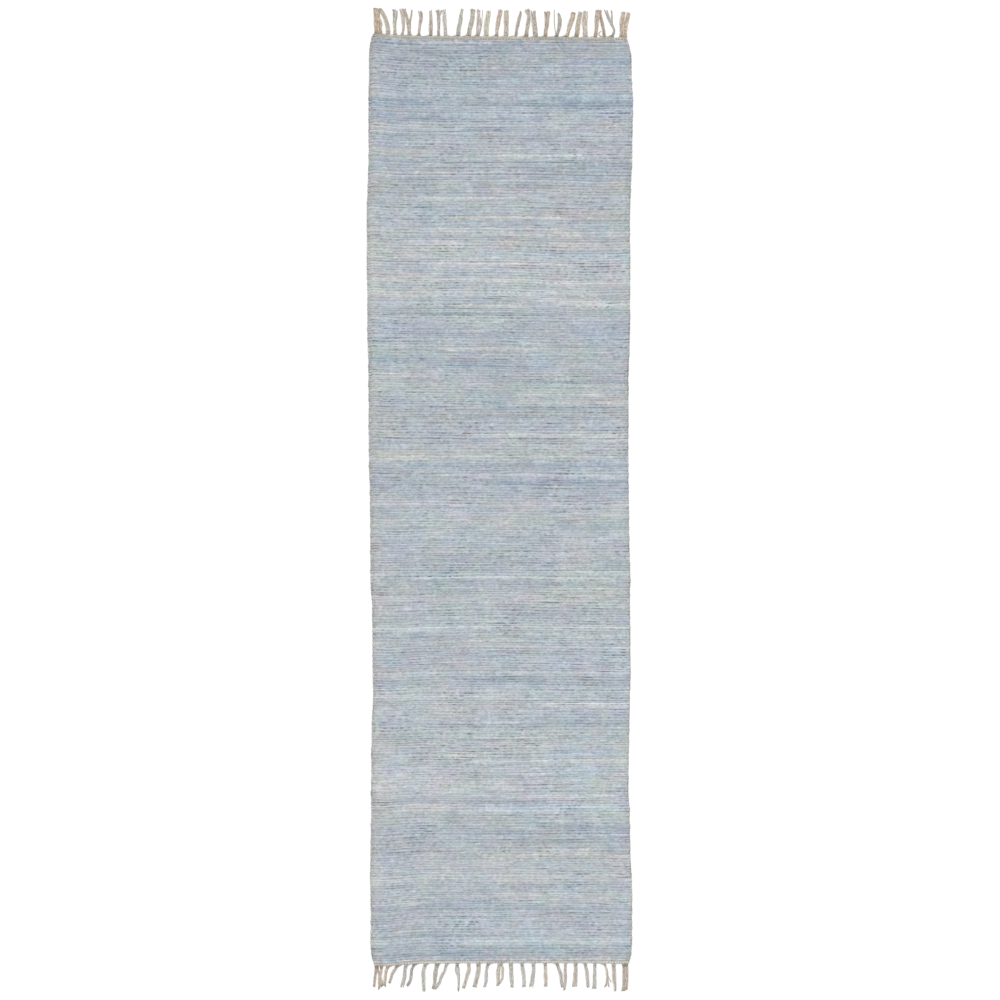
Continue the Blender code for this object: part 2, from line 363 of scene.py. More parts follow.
TINGES = {
    End.HEAD: table(
        Tinge,
        (-350, 0.1, -0.1, -0.3), (-300, 0.1, 0.0, 0.0), (-250, 0.2, 0.1, 0.2),
        (-200, 0.2, 0.2, 0.5), (-150, 0.1, 0.2, 0.0), (0, 0.05, 0.15, 0.0), (350, 0.05, 0.1, 0.0),
    ),
    End.FOOT: table(
        Tinge,
        (-345, 0.2, 0.0, -0.8), (-300, 0.2, 0.0, -0.7), (-285, 0.1, 0.15, 0.3),
        (-220, 0.0, 0.15, 0.9), (-140, -0.1, 0.15, 0.6), (-80, -0.1, 0.1, 0.1),
        (0, 0.0, -0.05, 0.0), (280, 0.0, -0.05, 0.0), (310, 0.0, 0.1, 0.5), (345, 0.1, 0.1, 0.8),
    ),
}

# How the weaving darkens, pales and turns bluer or warmer from band to band.
SHADES = table(
    Shade,
    (-1246, 6, -10), (-1238, -2, -8), (-1231, -5, -4), (-1215, -5, 4), (-1170, -1, 5),
    (-1120, 0, 3), (-1070, 1, 1), (-1025, 3, -2), (-975, 0, -3), (-930, -4, -1), (-880, -3, 2),
    (-830, 4, -1), (-780, 4, 1), (-710, 5, 1), (-635, 2, 0), (-590, 0, 5), (-540, 5, 0),
    (-490, 1, 2), (-440, 1, 3), (-390, 0, -1), (-340, 1, 0), (-295, 1, -2), (-245, -1, 0),
    (-200, 0, 1), (-150, -4, 4), (-100, 3, 1), (-50, -3, -1), (0, 1, -1), (45, -5, -1), (95, -2, 0),
    (145, 2, -2), (190, -1, -2), (240, -4, 1), (290, 2, -3), (340, -5, 3), (385, -4, 2),
    (435, -2, 1), (485, -1, 2), (530, 5, -3), (580, 6, -4), (630, 5, -3), (680, 2, 0), (750, 1, -1),
    (820, 3, -6), (870, -2, 0), (920, -3, -2), (970, 1, -1), (1015, -1, 1), (1065, -6, 7),
    (1115, -6, 5), (1165, -7, 2), (1225, -8, 0), (1242, -14, 0),
)

# The picks that stand out most, by their rag, from the head end to the foot end.
STREAKS = {
    Heap.OFF_WHITE: table(
        Streak,
        (1231, -245, -5), (949, -108, 243), (925, -83, 203), (878, -400, 135, 2), (865, -153, 279),
        (814, -210, 73), (638, -224, 206), (543, 60, 300), (534, 224, 400), (414, -400, -116),
        (408, -151, 157), (269, -18, 400), (167, 215, 400, 3), (73, 130, 400), (69, -170, 400),
        (-16, -400, 400), (-43, 281, 400), (-193, 44, 338), (-209, -237, 316), (-243, 106, 333, 2),
        (-345, -400, 400), (-399, -86, 400), (-459, 273, 400, 3), (-534, -400, 9),
        (-551, 117, 400, 2), (-552, 103, 400), (-605, -164, 49), (-646, -89, 149),
        (-694, -164, -16, 3), (-704, -81, 400), (-740, 11, 165), (-799, 49, 333), (-806, 6, 281),
        (-839, -299, 208), (-951, 79, 254, 2), (-1070, -118, 222), (-1119, -140, 117),
    ),
    Heap.CREAM: table(
        Streak,
        (760, -153, 184), (592, -232, 71), (586, -32, 400), (549, 52, 287), (522, -148, 81),
        (287, 33, 295), (263, -2, 400), (179, -121, 222), (120, -400, 316), (112, -400, -148),
        (-957, 44, 400),
    ),
    Heap.PALE_BLUE: table(
        Streak,
        (1151, -400, -78), (1130, -126, 189), (1016, -299, 195), (-123, -70, 141), (-447, 60, 400),
        (-469, -283, 400), (-1192, -216, 400),
    ),
    Heap.SKY: table(
        Streak,
        (1087, 105, 400, 3), (664, -67, 400, 4), (97, 108, 400), (-832, -70, 400, 3),
    ),
    Heap.STRAW: table(
        Streak,
        (942, -400, -186, 2), (855, 276, 400, 2), (773, 84, 400, 4), (604, -400, -159, 3),
        (553, -400, -229, 3), (272, 238, 400, 3), (181, -400, -250, 2), (173, 103, 311),
        (124, -400, -164, 2), (-705, 162, 400, 3), (-964, -70, 400, 2),
    ),
    Heap.SLATE: table(
        Streak,
        (1186, -340, -255), (1068, -110, 314), (1037, -400, -151, 2), (1032, -278, 46),
        (1000, -102, 138), (911, -400, 400), (907, 149, 400, 2), (846, -113, 108), (673, 0, 400),
        (503, -180, 219), (399, -191, 135), (376, -400, 33), (368, -400, 68), (320, 68, 400),
        (249, 0, 252), (225, -54, 233), (152, -400, -37), (93, -261, 400), (54, -64, 400),
        (44, -89, 260), (-46, -400, -118, 2), (-69, 125, 400), (-135, -400, -213, 2),
        (-150, -307, -72), (-218, -294, -70), (-228, -94, 335), (-307, -118, 100),
        (-357, -400, -183, 2), (-488, -132, 133), (-814, -105, 160), (-822, -116, 292),
        (-880, 117, 276), (-885, 60, 400), (-925, 17, 400), (-1083, -224, 19, 2), (-1090, 98, 303),
        (-1183, -221, 60, 2), (-1228, -329, -94),
    ),
    Heap.DENIM: table(
        Streak,
        (1185, 170, 400, 2), (1069, -400, -180, 3), (1067, 135, 400, 3), (358, -162, 17, 2),
        (-1223, -183, -29),
    ),
}

# How many in a hundred rags are of each sort. The sorts that aren't here are in streaks alone.
SHARES = {
    Heap.GREY_BLUE: 30,
    Heap.PALE_BLUE: 17,
    Heap.SLATE: 15,
    Heap.OFF_WHITE: 7,
    Heap.CREAM: 6,
    Heap.DOVE: 10,
    Heap.ROSE: 8,
    Heap.SAGE: 7,
}

# What the cloth's tones are called on its mesh, and how many steps each spans there from 0 to 1.
TONES = ("rag_light", "rag_blue", "rag_green")
SPANS = Tone(130.0, 24.0, 14.0)

def between_stations(rows: Sequence[tuple], column: str, at: np.ndarray) -> np.ndarray:
    """Reads a column of a table at places in metres, also between the table's stations."""
    stations = [row.station for row in rows]
    return np.interp(np.asarray(at) / MM, stations, [getattr(row, column) for row in rows])


def dyed(red: float, green: float, blue: float) -> Colour:
    """The surface colour that shows as an 8-bit colour in the picture.

    Args:
        red: The picture's red.
        green: The picture's green.
        blue: The picture's blue.

    Returns:
        The linear surface colour under the studio light.
    """
    shares = np.array((red, green, blue)) / 255
    linear = np.where(shares <= 0.04045, shares / 12.92, ((shares + 0.055) / 1.055) ** 2.4)
    return tuple(float(value) for value in linear / FLOOR_LIGHT)


def smoothed(grid: np.ndarray, reach: tuple[float, float]) -> np.ndarray:
    """A grid with each value spread over its neighbours.

    Args:
        grid: The grid.
        reach: How many rows and columns the spreading spans.

    Returns:
        The smooth grid.
    """
    for axis, span in enumerate(reach):
        fall = np.exp(-2 * (np.pi * span * np.fft.fftfreq(grid.shape[axis])) ** 2)
        turned = np.fft.fft(grid, axis=axis) * np.expand_dims(fall, 1 - axis)
        grid = np.fft.ifft(turned, axis=axis).real
    return grid


def smooth_noise(
    rng: np.random.Generator, shape: tuple[int, int], reach: tuple[float, float]
) -> np.ndarray:
    """Noise over a grid, smoothed over its reach, with a mean of 0 and a spread of 1."""
    noise = smoothed(rng.standard_normal(shape), reach)
    return (noise - noise.mean()) / noise.std()


def uneven(rng: np.random.Generator, shape: tuple[int, int], layers: Layers) -> np.ndarray:
    """Layers of smooth noise over a grid, added up.

    Args:
        rng: Where chance comes from.
        shape: The grid's rows and columns.
        layers: The layers.

    Returns:
        Their sum, in the layers' units.
    """
    total = np.zeros(shape)
    for layer in layers:
        noise = layer.spread * smooth_noise(rng, shape, (layer.picks, layer.columns))
        total += np.clip(noise, -layer.most, layer.most)
    return total


def curve(values: Sequence[float], share: np.ndarray) -> np.ndarray:
    """A smooth curve through evenly spaced values.

    Args:
        values: The values.
        share: Where to read it, from 0 at the first to 1 at the last.

    Returns:
        The curve's values.
    """
    marks = np.asarray(values, float)
    slopes = np.gradient(marks)
    place = np.clip(share, 0, 1) * (len(marks) - 1)
    index = np.minimum(place.astype(int), len(marks) - 2)
    past = place - index
    swell = past * past * (3 - 2 * past)
    leaving, coming = past * (1 - past) ** 2, past * past * (past - 1)
    held = marks[index] * (1 - swell) + marks[index + 1] * swell
    return held + slopes[index] * leaving + slopes[index + 1] * coming


def ease(value: Any) -> Any:
    """A soft step from 0 to 1 as the value goes from 0 to 1."""
    held = np.clip(value, 0, 1)
    return held * held * (3 - 2 * held)


class Wire:
    """A shader socket that sums are written on: each operator lays its Math node."""

    def __init__(self, bench: "Bench", socket: bpy.types.NodeSocket) -> None:
        """Keeps the socket, and the bench that its nodes are laid on."""
        self.bench = bench
        self.socket = socket

    def _sum(self, operation: str, first: "Amount", second: "Amount" = 0.0) -> "Wire":
        """Lays the Math node of an operation on one or two values."""
        return self.bench.node("ShaderNodeMath", {"operation": operation}, {0: first, 1: second})

    def __add__(self, other: "Amount") -> "Wire":
        """This plus the other."""
        return self._sum("ADD", self, other)

    def __sub__(self, other: "Amount") -> "Wire":
        """This less the other."""
        return self._sum("SUBTRACT", self, other)

    def __rsub__(self, other: "Amount") -> "Wire":
        """The other less this."""
        return self._sum("SUBTRACT", other, self)

    def __mul__(self, other: "Amount") -> "Wire":
        """This times the other."""
        return self._sum("MULTIPLY", self, other)

    def __pow__(self, other: "Amount") -> "Wire":
        """This to the power of the other."""
        return self._sum("POWER", self, other)

    def __abs__(self) -> "Wire":
        """This without its sign."""
        return self._sum("ABSOLUTE", self)

    __radd__ = __add__
    __rmul__ = __mul__

    def fraction(self) -> "Wire":
        """What is left of this over its last whole number."""
        return self._sum("FRACT", self)

    def wave(self) -> "Wire":
        """The sine of this."""
        return self._sum("SINE", self)


Amount = Union[float, Colour, Wire]


class Nap(NamedTuple):
    """How a cloth takes the light: its sheen, the sheen's roughness, how deep its fine relief is
    in metres, how much of that relief shows, and how strong its gloss is."""

    sheen: float
    sheen_roughness: float
    depth: float
    relief: float
    gloss: float = 0.25


class Bench:
    """The nodes of one material."""

    def __init__(self, name: str) -> None:
        """Starts a material with its one shader.

        Args:
            name: The material's name.
        """
        self.material = bpy.data.materials.new(name)
        self.material.use_nodes = True
        self.tree = self.material.node_tree
        self.shader = self.tree.nodes["Principled BSDF"]

    def node(
        self,
        kind: str,
        settings: Optional[Mapping[str, Any]] = None,
        values: Optional[Mapping[Key, Amount]] = None,
        output: Key = 0,
    ) -> Wire:
        """Lays one node.

        Args:
            kind: Its type.
            settings: What is set on it first. A ramp's stops are pairs of a place and a colour.
            values: Each socket's value or wire, by the socket's name or number.
            output: The output that is wanted.

        Returns:
            That output.
        """
        laid = self.tree.nodes.new(kind)
        for name, setting in (settings or {}).items():
            if name == "stops":
                self._set_stops(laid.color_ramp, setting)
            else:
                setattr(laid, name, setting)
        self.fill(laid, values or {})
        return Wire(self, laid.outputs[output])

    def fill(self, laid: bpy.types.Node, values: Mapping[Key, Amount]) -> None:
        """Gives a node's sockets their values and wires.

        Args:
            laid: The node.
            values: Each socket's value or wire, by the socket's name or number.
        """
        for key, value in values.items():
            place = laid.inputs[key]
            if isinstance(value, Wire):
                self.tree.links.new(value.socket, place)
            elif place.type == "RGBA":
                place.default_value = (*value, 1.0)
            else:
                place.default_value = value

    @staticmethod
    def _set_stops(ramp: bpy.types.ColorRamp, stops: Sequence[tuple[float, Colour]]) -> None:
        """Sets a ramp's stops.

        Args:
            ramp: The ramp.
            stops: Each stop's place and colour, from the lowest.
        """
        while len(ramp.elements) < len(stops):
            ramp.elements.new(1.0)
        for element, (place, colour) in zip(ramp.elements, stops):
            element.position = place
            element.color = (*colour, 1.0)

    def reading(self, name: str, output: Key = "Fac") -> Wire:
        """What the mesh holds under a name."""
        return self.node("ShaderNodeAttribute", {"attribute_name": name}, output=output)

    def split(self, vector: Wire) -> tuple[Wire, ...]:
        """The three parts of a vector."""
        kind, values = "ShaderNodeSeparateXYZ", {0: vector}
        return tuple(self.node(kind, values=values, output=part) for part in range(3))

    def noise(self, x: Amount, y: Amount, z: Amount = 0.0, detail: float = 2.0) -> Wire:
        """Noise over three coordinates.

        Args:
            x: The first coordinate, one to each feature's width.
            y: The second one.
            z: The third one.
            detail: How many finer layers it has.

        Returns:
            The noise, from 0 to 1.
        """
        place = self.node("ShaderNodeCombineXYZ", values={0: x, 1: y, 2: z})
        values = {"Vector": place, "Scale": 1.0, "Detail": detail}
        return self.node("ShaderNodeTexNoise", values=values)

    def ramp(self, factor: Wire, stops: Sequence[tuple[float, Colour]]) -> Wire:
        """The colour that a ramp has at a factor."""
        return self.node("ShaderNodeValToRGB", {"stops": stops}, {0: factor})

    def mix(self, factor: Amount, first: Amount, second: Amount, blend: str = "MIX") -> Wire:
        """Mixes two colours, by how much of the second shows."""
        settings = {"data_type": "RGBA", "blend_type": blend}
        return self.node("ShaderNodeMix", settings, {0: factor, 6: first, 7: second}, output=2)

    def finish(self, colour: Wire, roughness: Wire, height: Wire, nap: Nap) -> bpy.types.Material:
        """Sets the shader.

        Args:
            colour: The cloth's colour.
            roughness: Its roughness.
            height: Its fine relief, from 0 to 1.
            nap: How it takes the light.

        Returns:
            The finished material.
        """
        relief = {"Strength": nap.relief, "Distance": nap.depth, "Height": height}
        values = {
            "Base Color": colour,
            "Roughness": roughness,
            "Normal": self.node("ShaderNodeBump", values=relief),
            "Sheen Weight": nap.sheen,
            "Sheen Roughness": nap.sheen_roughness,
            "Specular IOR Level": nap.gloss,
        }
        self.fill(self.shader, values)
        return self.material


class Grain(NamedTuple):
    """One fineness of grain in the rags: how many of its features lie in a metre across the rug and
    in a pick, which slice of the noise it takes, how many finer layers it has, how far it sways the
    tone, and its share of the relief."""

    across: float
    pick: float
    slice: float
    detail: float
    sway: float
    relief: float


@dataclass(frozen=True)
class RagFinish:
    """Torn cotton rags, folded and beaten close: each has its own tone, folds and worn threads."""

    mean: float = 193.4  # 8-bit tone of the middling rag
    tint: float = 14.5  # how much bluer than red it is, in 8-bit steps
    tint_fall: float = 3.0  # how much less so the lightest rag is than the darkest
    red_share: float = 0.49  # of the tint that is taken from red, where the rest goes to blue
    green: float = 0.7
    stops: int = 6  # of the ramp from the darkest rag to the lightest
    fold: Grain = Grain(26, 2.4, 0.0, 1.0, 0.035, 0.4)
    thread: Grain = Grain(95, 13, 4.0, 2.0, 0.07, 0.35)
    lint: Grain = Grain(700, 19, 7.0, 1.0, 0.05, 0.15)
    grain: Grain = Grain(390, 3.1, 0.0, 2.0, 0.20, 0.1)
    shadow: float = 0.135  # between two picks
    dip: float = 0.02  # painted shade where a pick passes under a warp
    dye_grain: float = 0.2
    rose: Colour = (1.05, 0.957, 1.03)
    sage: Colour = (0.957, 1.05, 0.97)
    roughness: float = 0.82
    nap: Nap = Nap(0.12, 0.6, 1.1 * MM, 0.55)

    def _stops(self, blue: float) -> list[tuple[float, Colour]]:
        """A ramp from the darkest rag to the lightest.

        Args:
            blue: How much bluer than the mean it is, in 8-bit steps.

        Returns:
            The ramp's stops.
        """
        stops = []
        for step in range(self.stops):
            place = step / (self.stops - 1)
            light = self.mean + (place - 0.5) * SPANS.light
            tint = self.tint + blue - (place - 0.5) * self.tint_fall
            red, rest = light - self.red_share * tint, light + (1 - self.red_share) * tint
            stops.append((place, dyed(red, light + self.green, rest)))
        return stops

    def material(self, name: str) -> bpy.types.Material:
        """Makes the finish.

        Args:
            name: The material's name.

        Returns:
            The material.
        """
        bench = Bench(name)
        across, pick, over = bench.split(bench.reading("weave", "Vector"))
        tone, blue, green = (bench.reading(part) for part in TONES)
        layers = (self.fold, self.thread, self.lint, self.grain)
        noises = [
            bench.noise(across * layer.across, pick * layer.pick, layer.slice, layer.detail)
            for layer in layers
        ]
        grain = noises[-1]
        flank = abs(pick.fraction() * 2 - 1) ** 3
        # Painted shade: each pick is darker on its flanks towards the gaps, and where it passes
        # under a warp.
        tone = tone - flank * self.shadow - (1 - over) * self.dip
        for layer, noise in zip(layers, noises):
            tone = tone + (noise - 0.5) * (2 * layer.sway)
        swing = SPANS.blue / 2
        warm, cool = (bench.ramp(tone, self._stops(side * swing)) for side in (-1, 1))
        dye = bench.mix(blue + (grain - 0.5) * self.dye_grain, warm, cool)
        dye = bench.mix(1.0, dye, bench.mix(green, self.rose, self.sage), "MULTIPLY")
        height = sum(noise * layer.relief for layer, noise in zip(layers, noises))
        roughness = self.roughness + grain * 0.14 + flank * 0.04
        return bench.finish(dye, roughness, height, self.nap)


@dataclass(frozen=True)
class CottonFinish:
    """Undyed cotton yarn: two plies twisted, beige, greyed where handled, with painted shade at
    knots and between plies.
    """

    rose: Colour = dyed(238, 221, 210)
    fair: Colour = dyed(238, 231, 217)
    green: Colour = dyed(231, 230, 212)
    dull: Colour = dyed(158, 146, 131)
    cool: Colour = (0.92, 1.0, 1.115)
    tan: Colour = (1.085, 1.0, 0.89)
    drift: float = 0.9  # of the cast along a yarn, from rose to green
    blotch: float = 0.6  # of the warmth, where it is more soiled
    soiling: float = 1.5
    ply_painted_shade: float = 0.28  # painted shade between two plies
    plies: int = 2
    turns: float = 170.0  # of the plies in a metre
    lay: float = 1.0  # of the plies round the yarn
    lane: float = 0.0  # shadow between two yarns of a woven band
    roughness: float = 0.84
    nap: Nap = Nap(0.15, 0.5, 0.4 * MM, 0.7)

    def material(self, name: str) -> bpy.types.Material:
        """Makes the finish.

        Args:
            name: The material's name.

        Returns:
            The material.
        """
        bench = Bench(name)
        around, along, yarn = bench.split(bench.reading("yarn", "Vector"))
        grime_and_shade, cast, warm = (bench.reading(part) for part in ("grime_and_shade", "cast", "warm"))
        twist = around * self.lay + along * self.turns
        ply = (twist * (2 * np.pi * self.plies)).wave() * 0.5 + 0.5
        fuzz = bench.noise(around * 9, along * 900, yarn * 37)
        drift = bench.noise(along * 40, yarn * 5, detail=1.0)
        soil = bench.noise(along * 160, yarn * 7.3, around * 2)
        flank = abs(around.fraction() * 2 - 1) ** 3
        # Soil and painted shade together: the mesh's grime and shade, soil noise, painted shade
        # between the plies and, in a woven band, painted shadow between the yarns.
        worn = grime_and_shade + (soil - 0.5) * self.soiling
        worn = worn + (1 - ply) ** 3 * self.ply_painted_shade + flank * self.lane
        stops = ((0.1, self.rose), (0.5, self.fair), (0.9, self.green))
        clean = bench.ramp(cast + (drift - 0.5) * self.drift, stops)
        hue = bench.mix(warm + (soil - 0.5) * self.blotch, self.cool, self.tan)
        dye = bench.mix(1.0, bench.mix(worn, clean, self.dull), hue, "MULTIPLY")
        height = ply * 0.7 + fuzz * 0.3 - flank * self.lane
        return bench.finish(dye, self.roughness + fuzz * 0.12, height, self.nap)


@dataclass(frozen=True)
class Outline:
    """The outline that the solids have: the selvedges, and both edges of each heading."""

    width: float = 0.700
    length: float = 2.500
    parting: float = 0.3 * MM
    headings: float = 15 * MM  # what both headings take of the length

    def selvedge(self, y: np.ndarray, side: int) -> np.ndarray:
        """X of the left (-1) or right (1) selvedge at y."""
        beyond = between_stations(SIDES, "left" if side < 0 else "right", y) * MM
        return side * (self.width / 2 + beyond)

    def brink(self, end: End, x: np.ndarray) -> np.ndarray:
        """Y of a heading's outer edge at x."""
        return end.value * (self.length / 2 + between_stations(BRINKS[end], "beyond", x) * MM)

    def seam(self, end: End, x: np.ndarray) -> np.ndarray:
        """Y of a heading's inner edge at x."""
        return self.brink(end, x) - end.value * between_stations(BRINKS[end], "depth", x) * MM

    def cloth_end(self, end: End, x: np.ndarray) -> np.ndarray:
        """Y of the cloth's edge beside a heading, at x."""
        return self.seam(end, x) - end.value * self.parting


class Span(NamedTuple):
    """A stretch of a map, from 0 to 1: where it starts, and its size."""

    start: float
    size: float

    def at(self, share: Any) -> Any:
        """The place at a share of the stretch."""
        return self.start + self.size * share


class Face(NamedTuple):
    """A face of a skin: its corners, the place of each on the map, and its seat in the top."""

    corners: list[int]
    places: list[tuple[float, float]]
    row: int
    column: int


@dataclass
class Skin:
    """A closed skin of cloth: a fine top, a coarser underside, a rim down each side, end walls."""

    top: np.ndarray
    under: np.ndarray
    row_step: int  # rows of the top to one of the underside
    picked: np.ndarray  # the top's column over each of the underside's
    runs: int = 1  # lengths that the top is cut in on its map
    across: Span = Span(0.03, 0.94)
    upper: Span = Span(0.25, 0.73)
    lower: Span = Span(0.01, 0.21)
    within_run: Span = Span(0.02, 0.96)

    def _top_place(
        self, row: np.ndarray, column: np.ndarray, run: np.ndarray
    ) -> tuple[np.ndarray, np.ndarray]:
        """Where a corner of the top lies on the map.

        Args:
            row: Its row.
            column: Its column.
            run: The length that its face is in.

        Returns:
            Its two map coordinates.
        """
        rows, columns = self.top.shape[:2]
        wide = -(-(columns - 1) // self.runs)
        down = (run + self.within_run.at(row / (rows - 1))) / self.runs
        return self.across.at((column - run * wide) / wide), self.upper.at(down)

    @staticmethod
    def _cells(grid: np.ndarray) -> tuple[np.ndarray, np.ndarray]:
        """The row and the column of each cell of a grid."""
        row, column = np.mgrid[0 : grid.shape[0] - 1, 0 : grid.shape[1] - 1]
        return row.ravel(), column.ravel()

    def _sheet_faces(self) -> tuple[np.ndarray, np.ndarray, np.ndarray]:
        """The faces of the top and the underside.

        Returns:
            Each face's corners, their places on the map, and each corner's seat: a row of the
            top's faces, and a column of its points.
        """
        rows, columns = self.top.shape[:2]
        down, over = np.array((0, 0, 1, 1)), np.array((0, 1, 1, 0))
        row, column = self._cells(self.top)
        run = column // -(-(columns - 1) // self.runs)
        corner_row, corner_column = row[:, None] + down, column[:, None] + over
        corners = corner_row * columns + corner_column
        places = np.stack(self._top_place(corner_row, corner_column, run[:, None]), -1)
        seats = np.stack((np.repeat(row, 4), corner_column.ravel()), -1)
        low_rows, low_columns = self.under.shape[:2]
        row, column = self._cells(self.under)
        corner_row, corner_column = row[:, None] + over, column[:, None] + down
        low_corners = rows * columns + corner_row * low_columns + corner_column
        x = self.across.at(corner_column / (low_columns - 1))
        low_places = np.stack((x, self.lower.at(corner_row / (low_rows - 1))), -1)
        low_seats = np.stack((row * self.row_step, self.picked[column]), -1)
        seats = np.r_[seats, np.repeat(low_seats, 4, 0)]
        return np.r_[corners, low_corners], np.r_[places, low_places], seats

    def _rims(self) -> list[Face]:
        """Closes both sides, from the left one's foot end.

        Returns:
            The faces.
        """
        rows, columns = self.top.shape[:2]
        wide, step = self.under.shape[1], self.row_step
        faces = []
        for column, low_column, inner, outer in (
            (0, 0, 0.026, 0.004),
            (columns - 1, wide - 1, 0.974, 0.996),
        ):
            run = self.runs - 1 if column else 0
            for low in range(self.under.shape[0] - 1):
                span = range(low * step, (low + 1) * step + 1)
                foot = rows * columns + low * wide + low_column
                corners = [foot + wide, foot] + [row * columns + column for row in span]
                heights = [self._top_place(row, 0, run)[1] for row in span]
                places = [(outer, heights[-1]), (outer, heights[0])]
                places += [(inner, height) for height in heights]
                if column:
                    corners, places = corners[::-1], places[::-1]
                faces.append(Face(corners, places, low * step, min(column, columns - 2)))
        return faces

    def _walls(self) -> list[Face]:
        """Closes both ends, from the foot end's left corner.

        Returns:
            The faces.
        """
        rows, columns = self.top.shape[:2]
        low_rows, low_columns = self.under.shape[:2]
        bounds = [0, *self.picked[1:-1], columns - 1]
        faces = []
        for row, low_row, inner, outer in (
            (0, 0, 0.245, 0.232),
            (rows - 1, low_rows - 1, 0.985, 0.997),
        ):
            for low, (first, last) in enumerate(zip(bounds, bounds[1:])):
                span = range(last, first - 1, -1)
                foot = rows * columns + low_row * low_columns + low
                corners = [foot, foot + 1] + [row * columns + column for column in span]
                places = [(self.across.at(end / (columns - 1)), outer) for end in (first, last)]
                places += [(self.across.at(column / (columns - 1)), inner) for column in span]
                if row:
                    corners, places = corners[::-1], places[::-1]
                faces.append(Face(corners, places, min(row, rows - 2), first))
        return faces

    def build(
        self, name: str, vectors: tuple[str, np.ndarray], facts: Mapping[str, np.ndarray]
    ) -> bpy.types.Object:
        """Makes the skin's mesh.

        Args:
            name: The piece's name.
            vectors: The name of the vector that each point holds, and its grid over the top.
            facts: What the faces hold, as grids over the top's faces, by name. Along a row it
                runs smoothly from face to face.

        Returns:
            The piece.
        """
        corners, places, seats = self._sheet_faces()
        walls = self._walls()
        edges = self._rims() + walls
        faces = corners.tolist() + [face.corners for face in edges]
        mesh = bpy.data.meshes.new(name)
        points = np.concatenate((self.top.reshape(-1, 3), self.under.reshape(-1, 3)))
        mesh.from_pydata(points, [], faces)
        smooth = np.ones(len(faces), bool)
        smooth[len(faces) - len(walls) :] = False
        mesh.polygons.foreach_set("use_smooth", smooth)
        spots = np.array([spot for face in edges for spot in face.places])
        flat = np.concatenate((places.reshape(-1, 2), spots))
        mesh.uv_layers.new(name="OFBake").uv.foreach_set("vector", flat.ravel())
        vector, grid = vectors
        low = grid[:: self.row_step, :][:, self.picked]
        held = np.concatenate((grid.reshape(-1, 3), low.reshape(-1, 3))).ravel()
        mesh.attributes.new(vector, "FLOAT_VECTOR", "POINT").data.foreach_set("vector", held)
        edge_seats = [(face.row, face.column) for face in edges for _ in face.corners]
        row, column = np.concatenate((seats, edge_seats)).T
        for fact, grid in facts.items():
            grid = np.pad(grid, ((0, 0), (1, 1)), "edge")
            held = ((grid[:, :-1] + grid[:, 1:]) / 2)[row, column]
            mesh.attributes.new(fact, "FLOAT", "CORNER").data.foreach_set("value", held)
        return placed(mesh)


def placed(mesh: bpy.types.Mesh) -> bpy.types.Object:
    """A piece of the scene that shows a mesh, under the mesh's name.

    Args:
        mesh: The mesh.

    Returns:
        The piece.
    """
    mesh.update()
    piece = bpy.data.objects.new(mesh.name, mesh)
    bpy.context.scene.collection.objects.link(piece)
    return piece


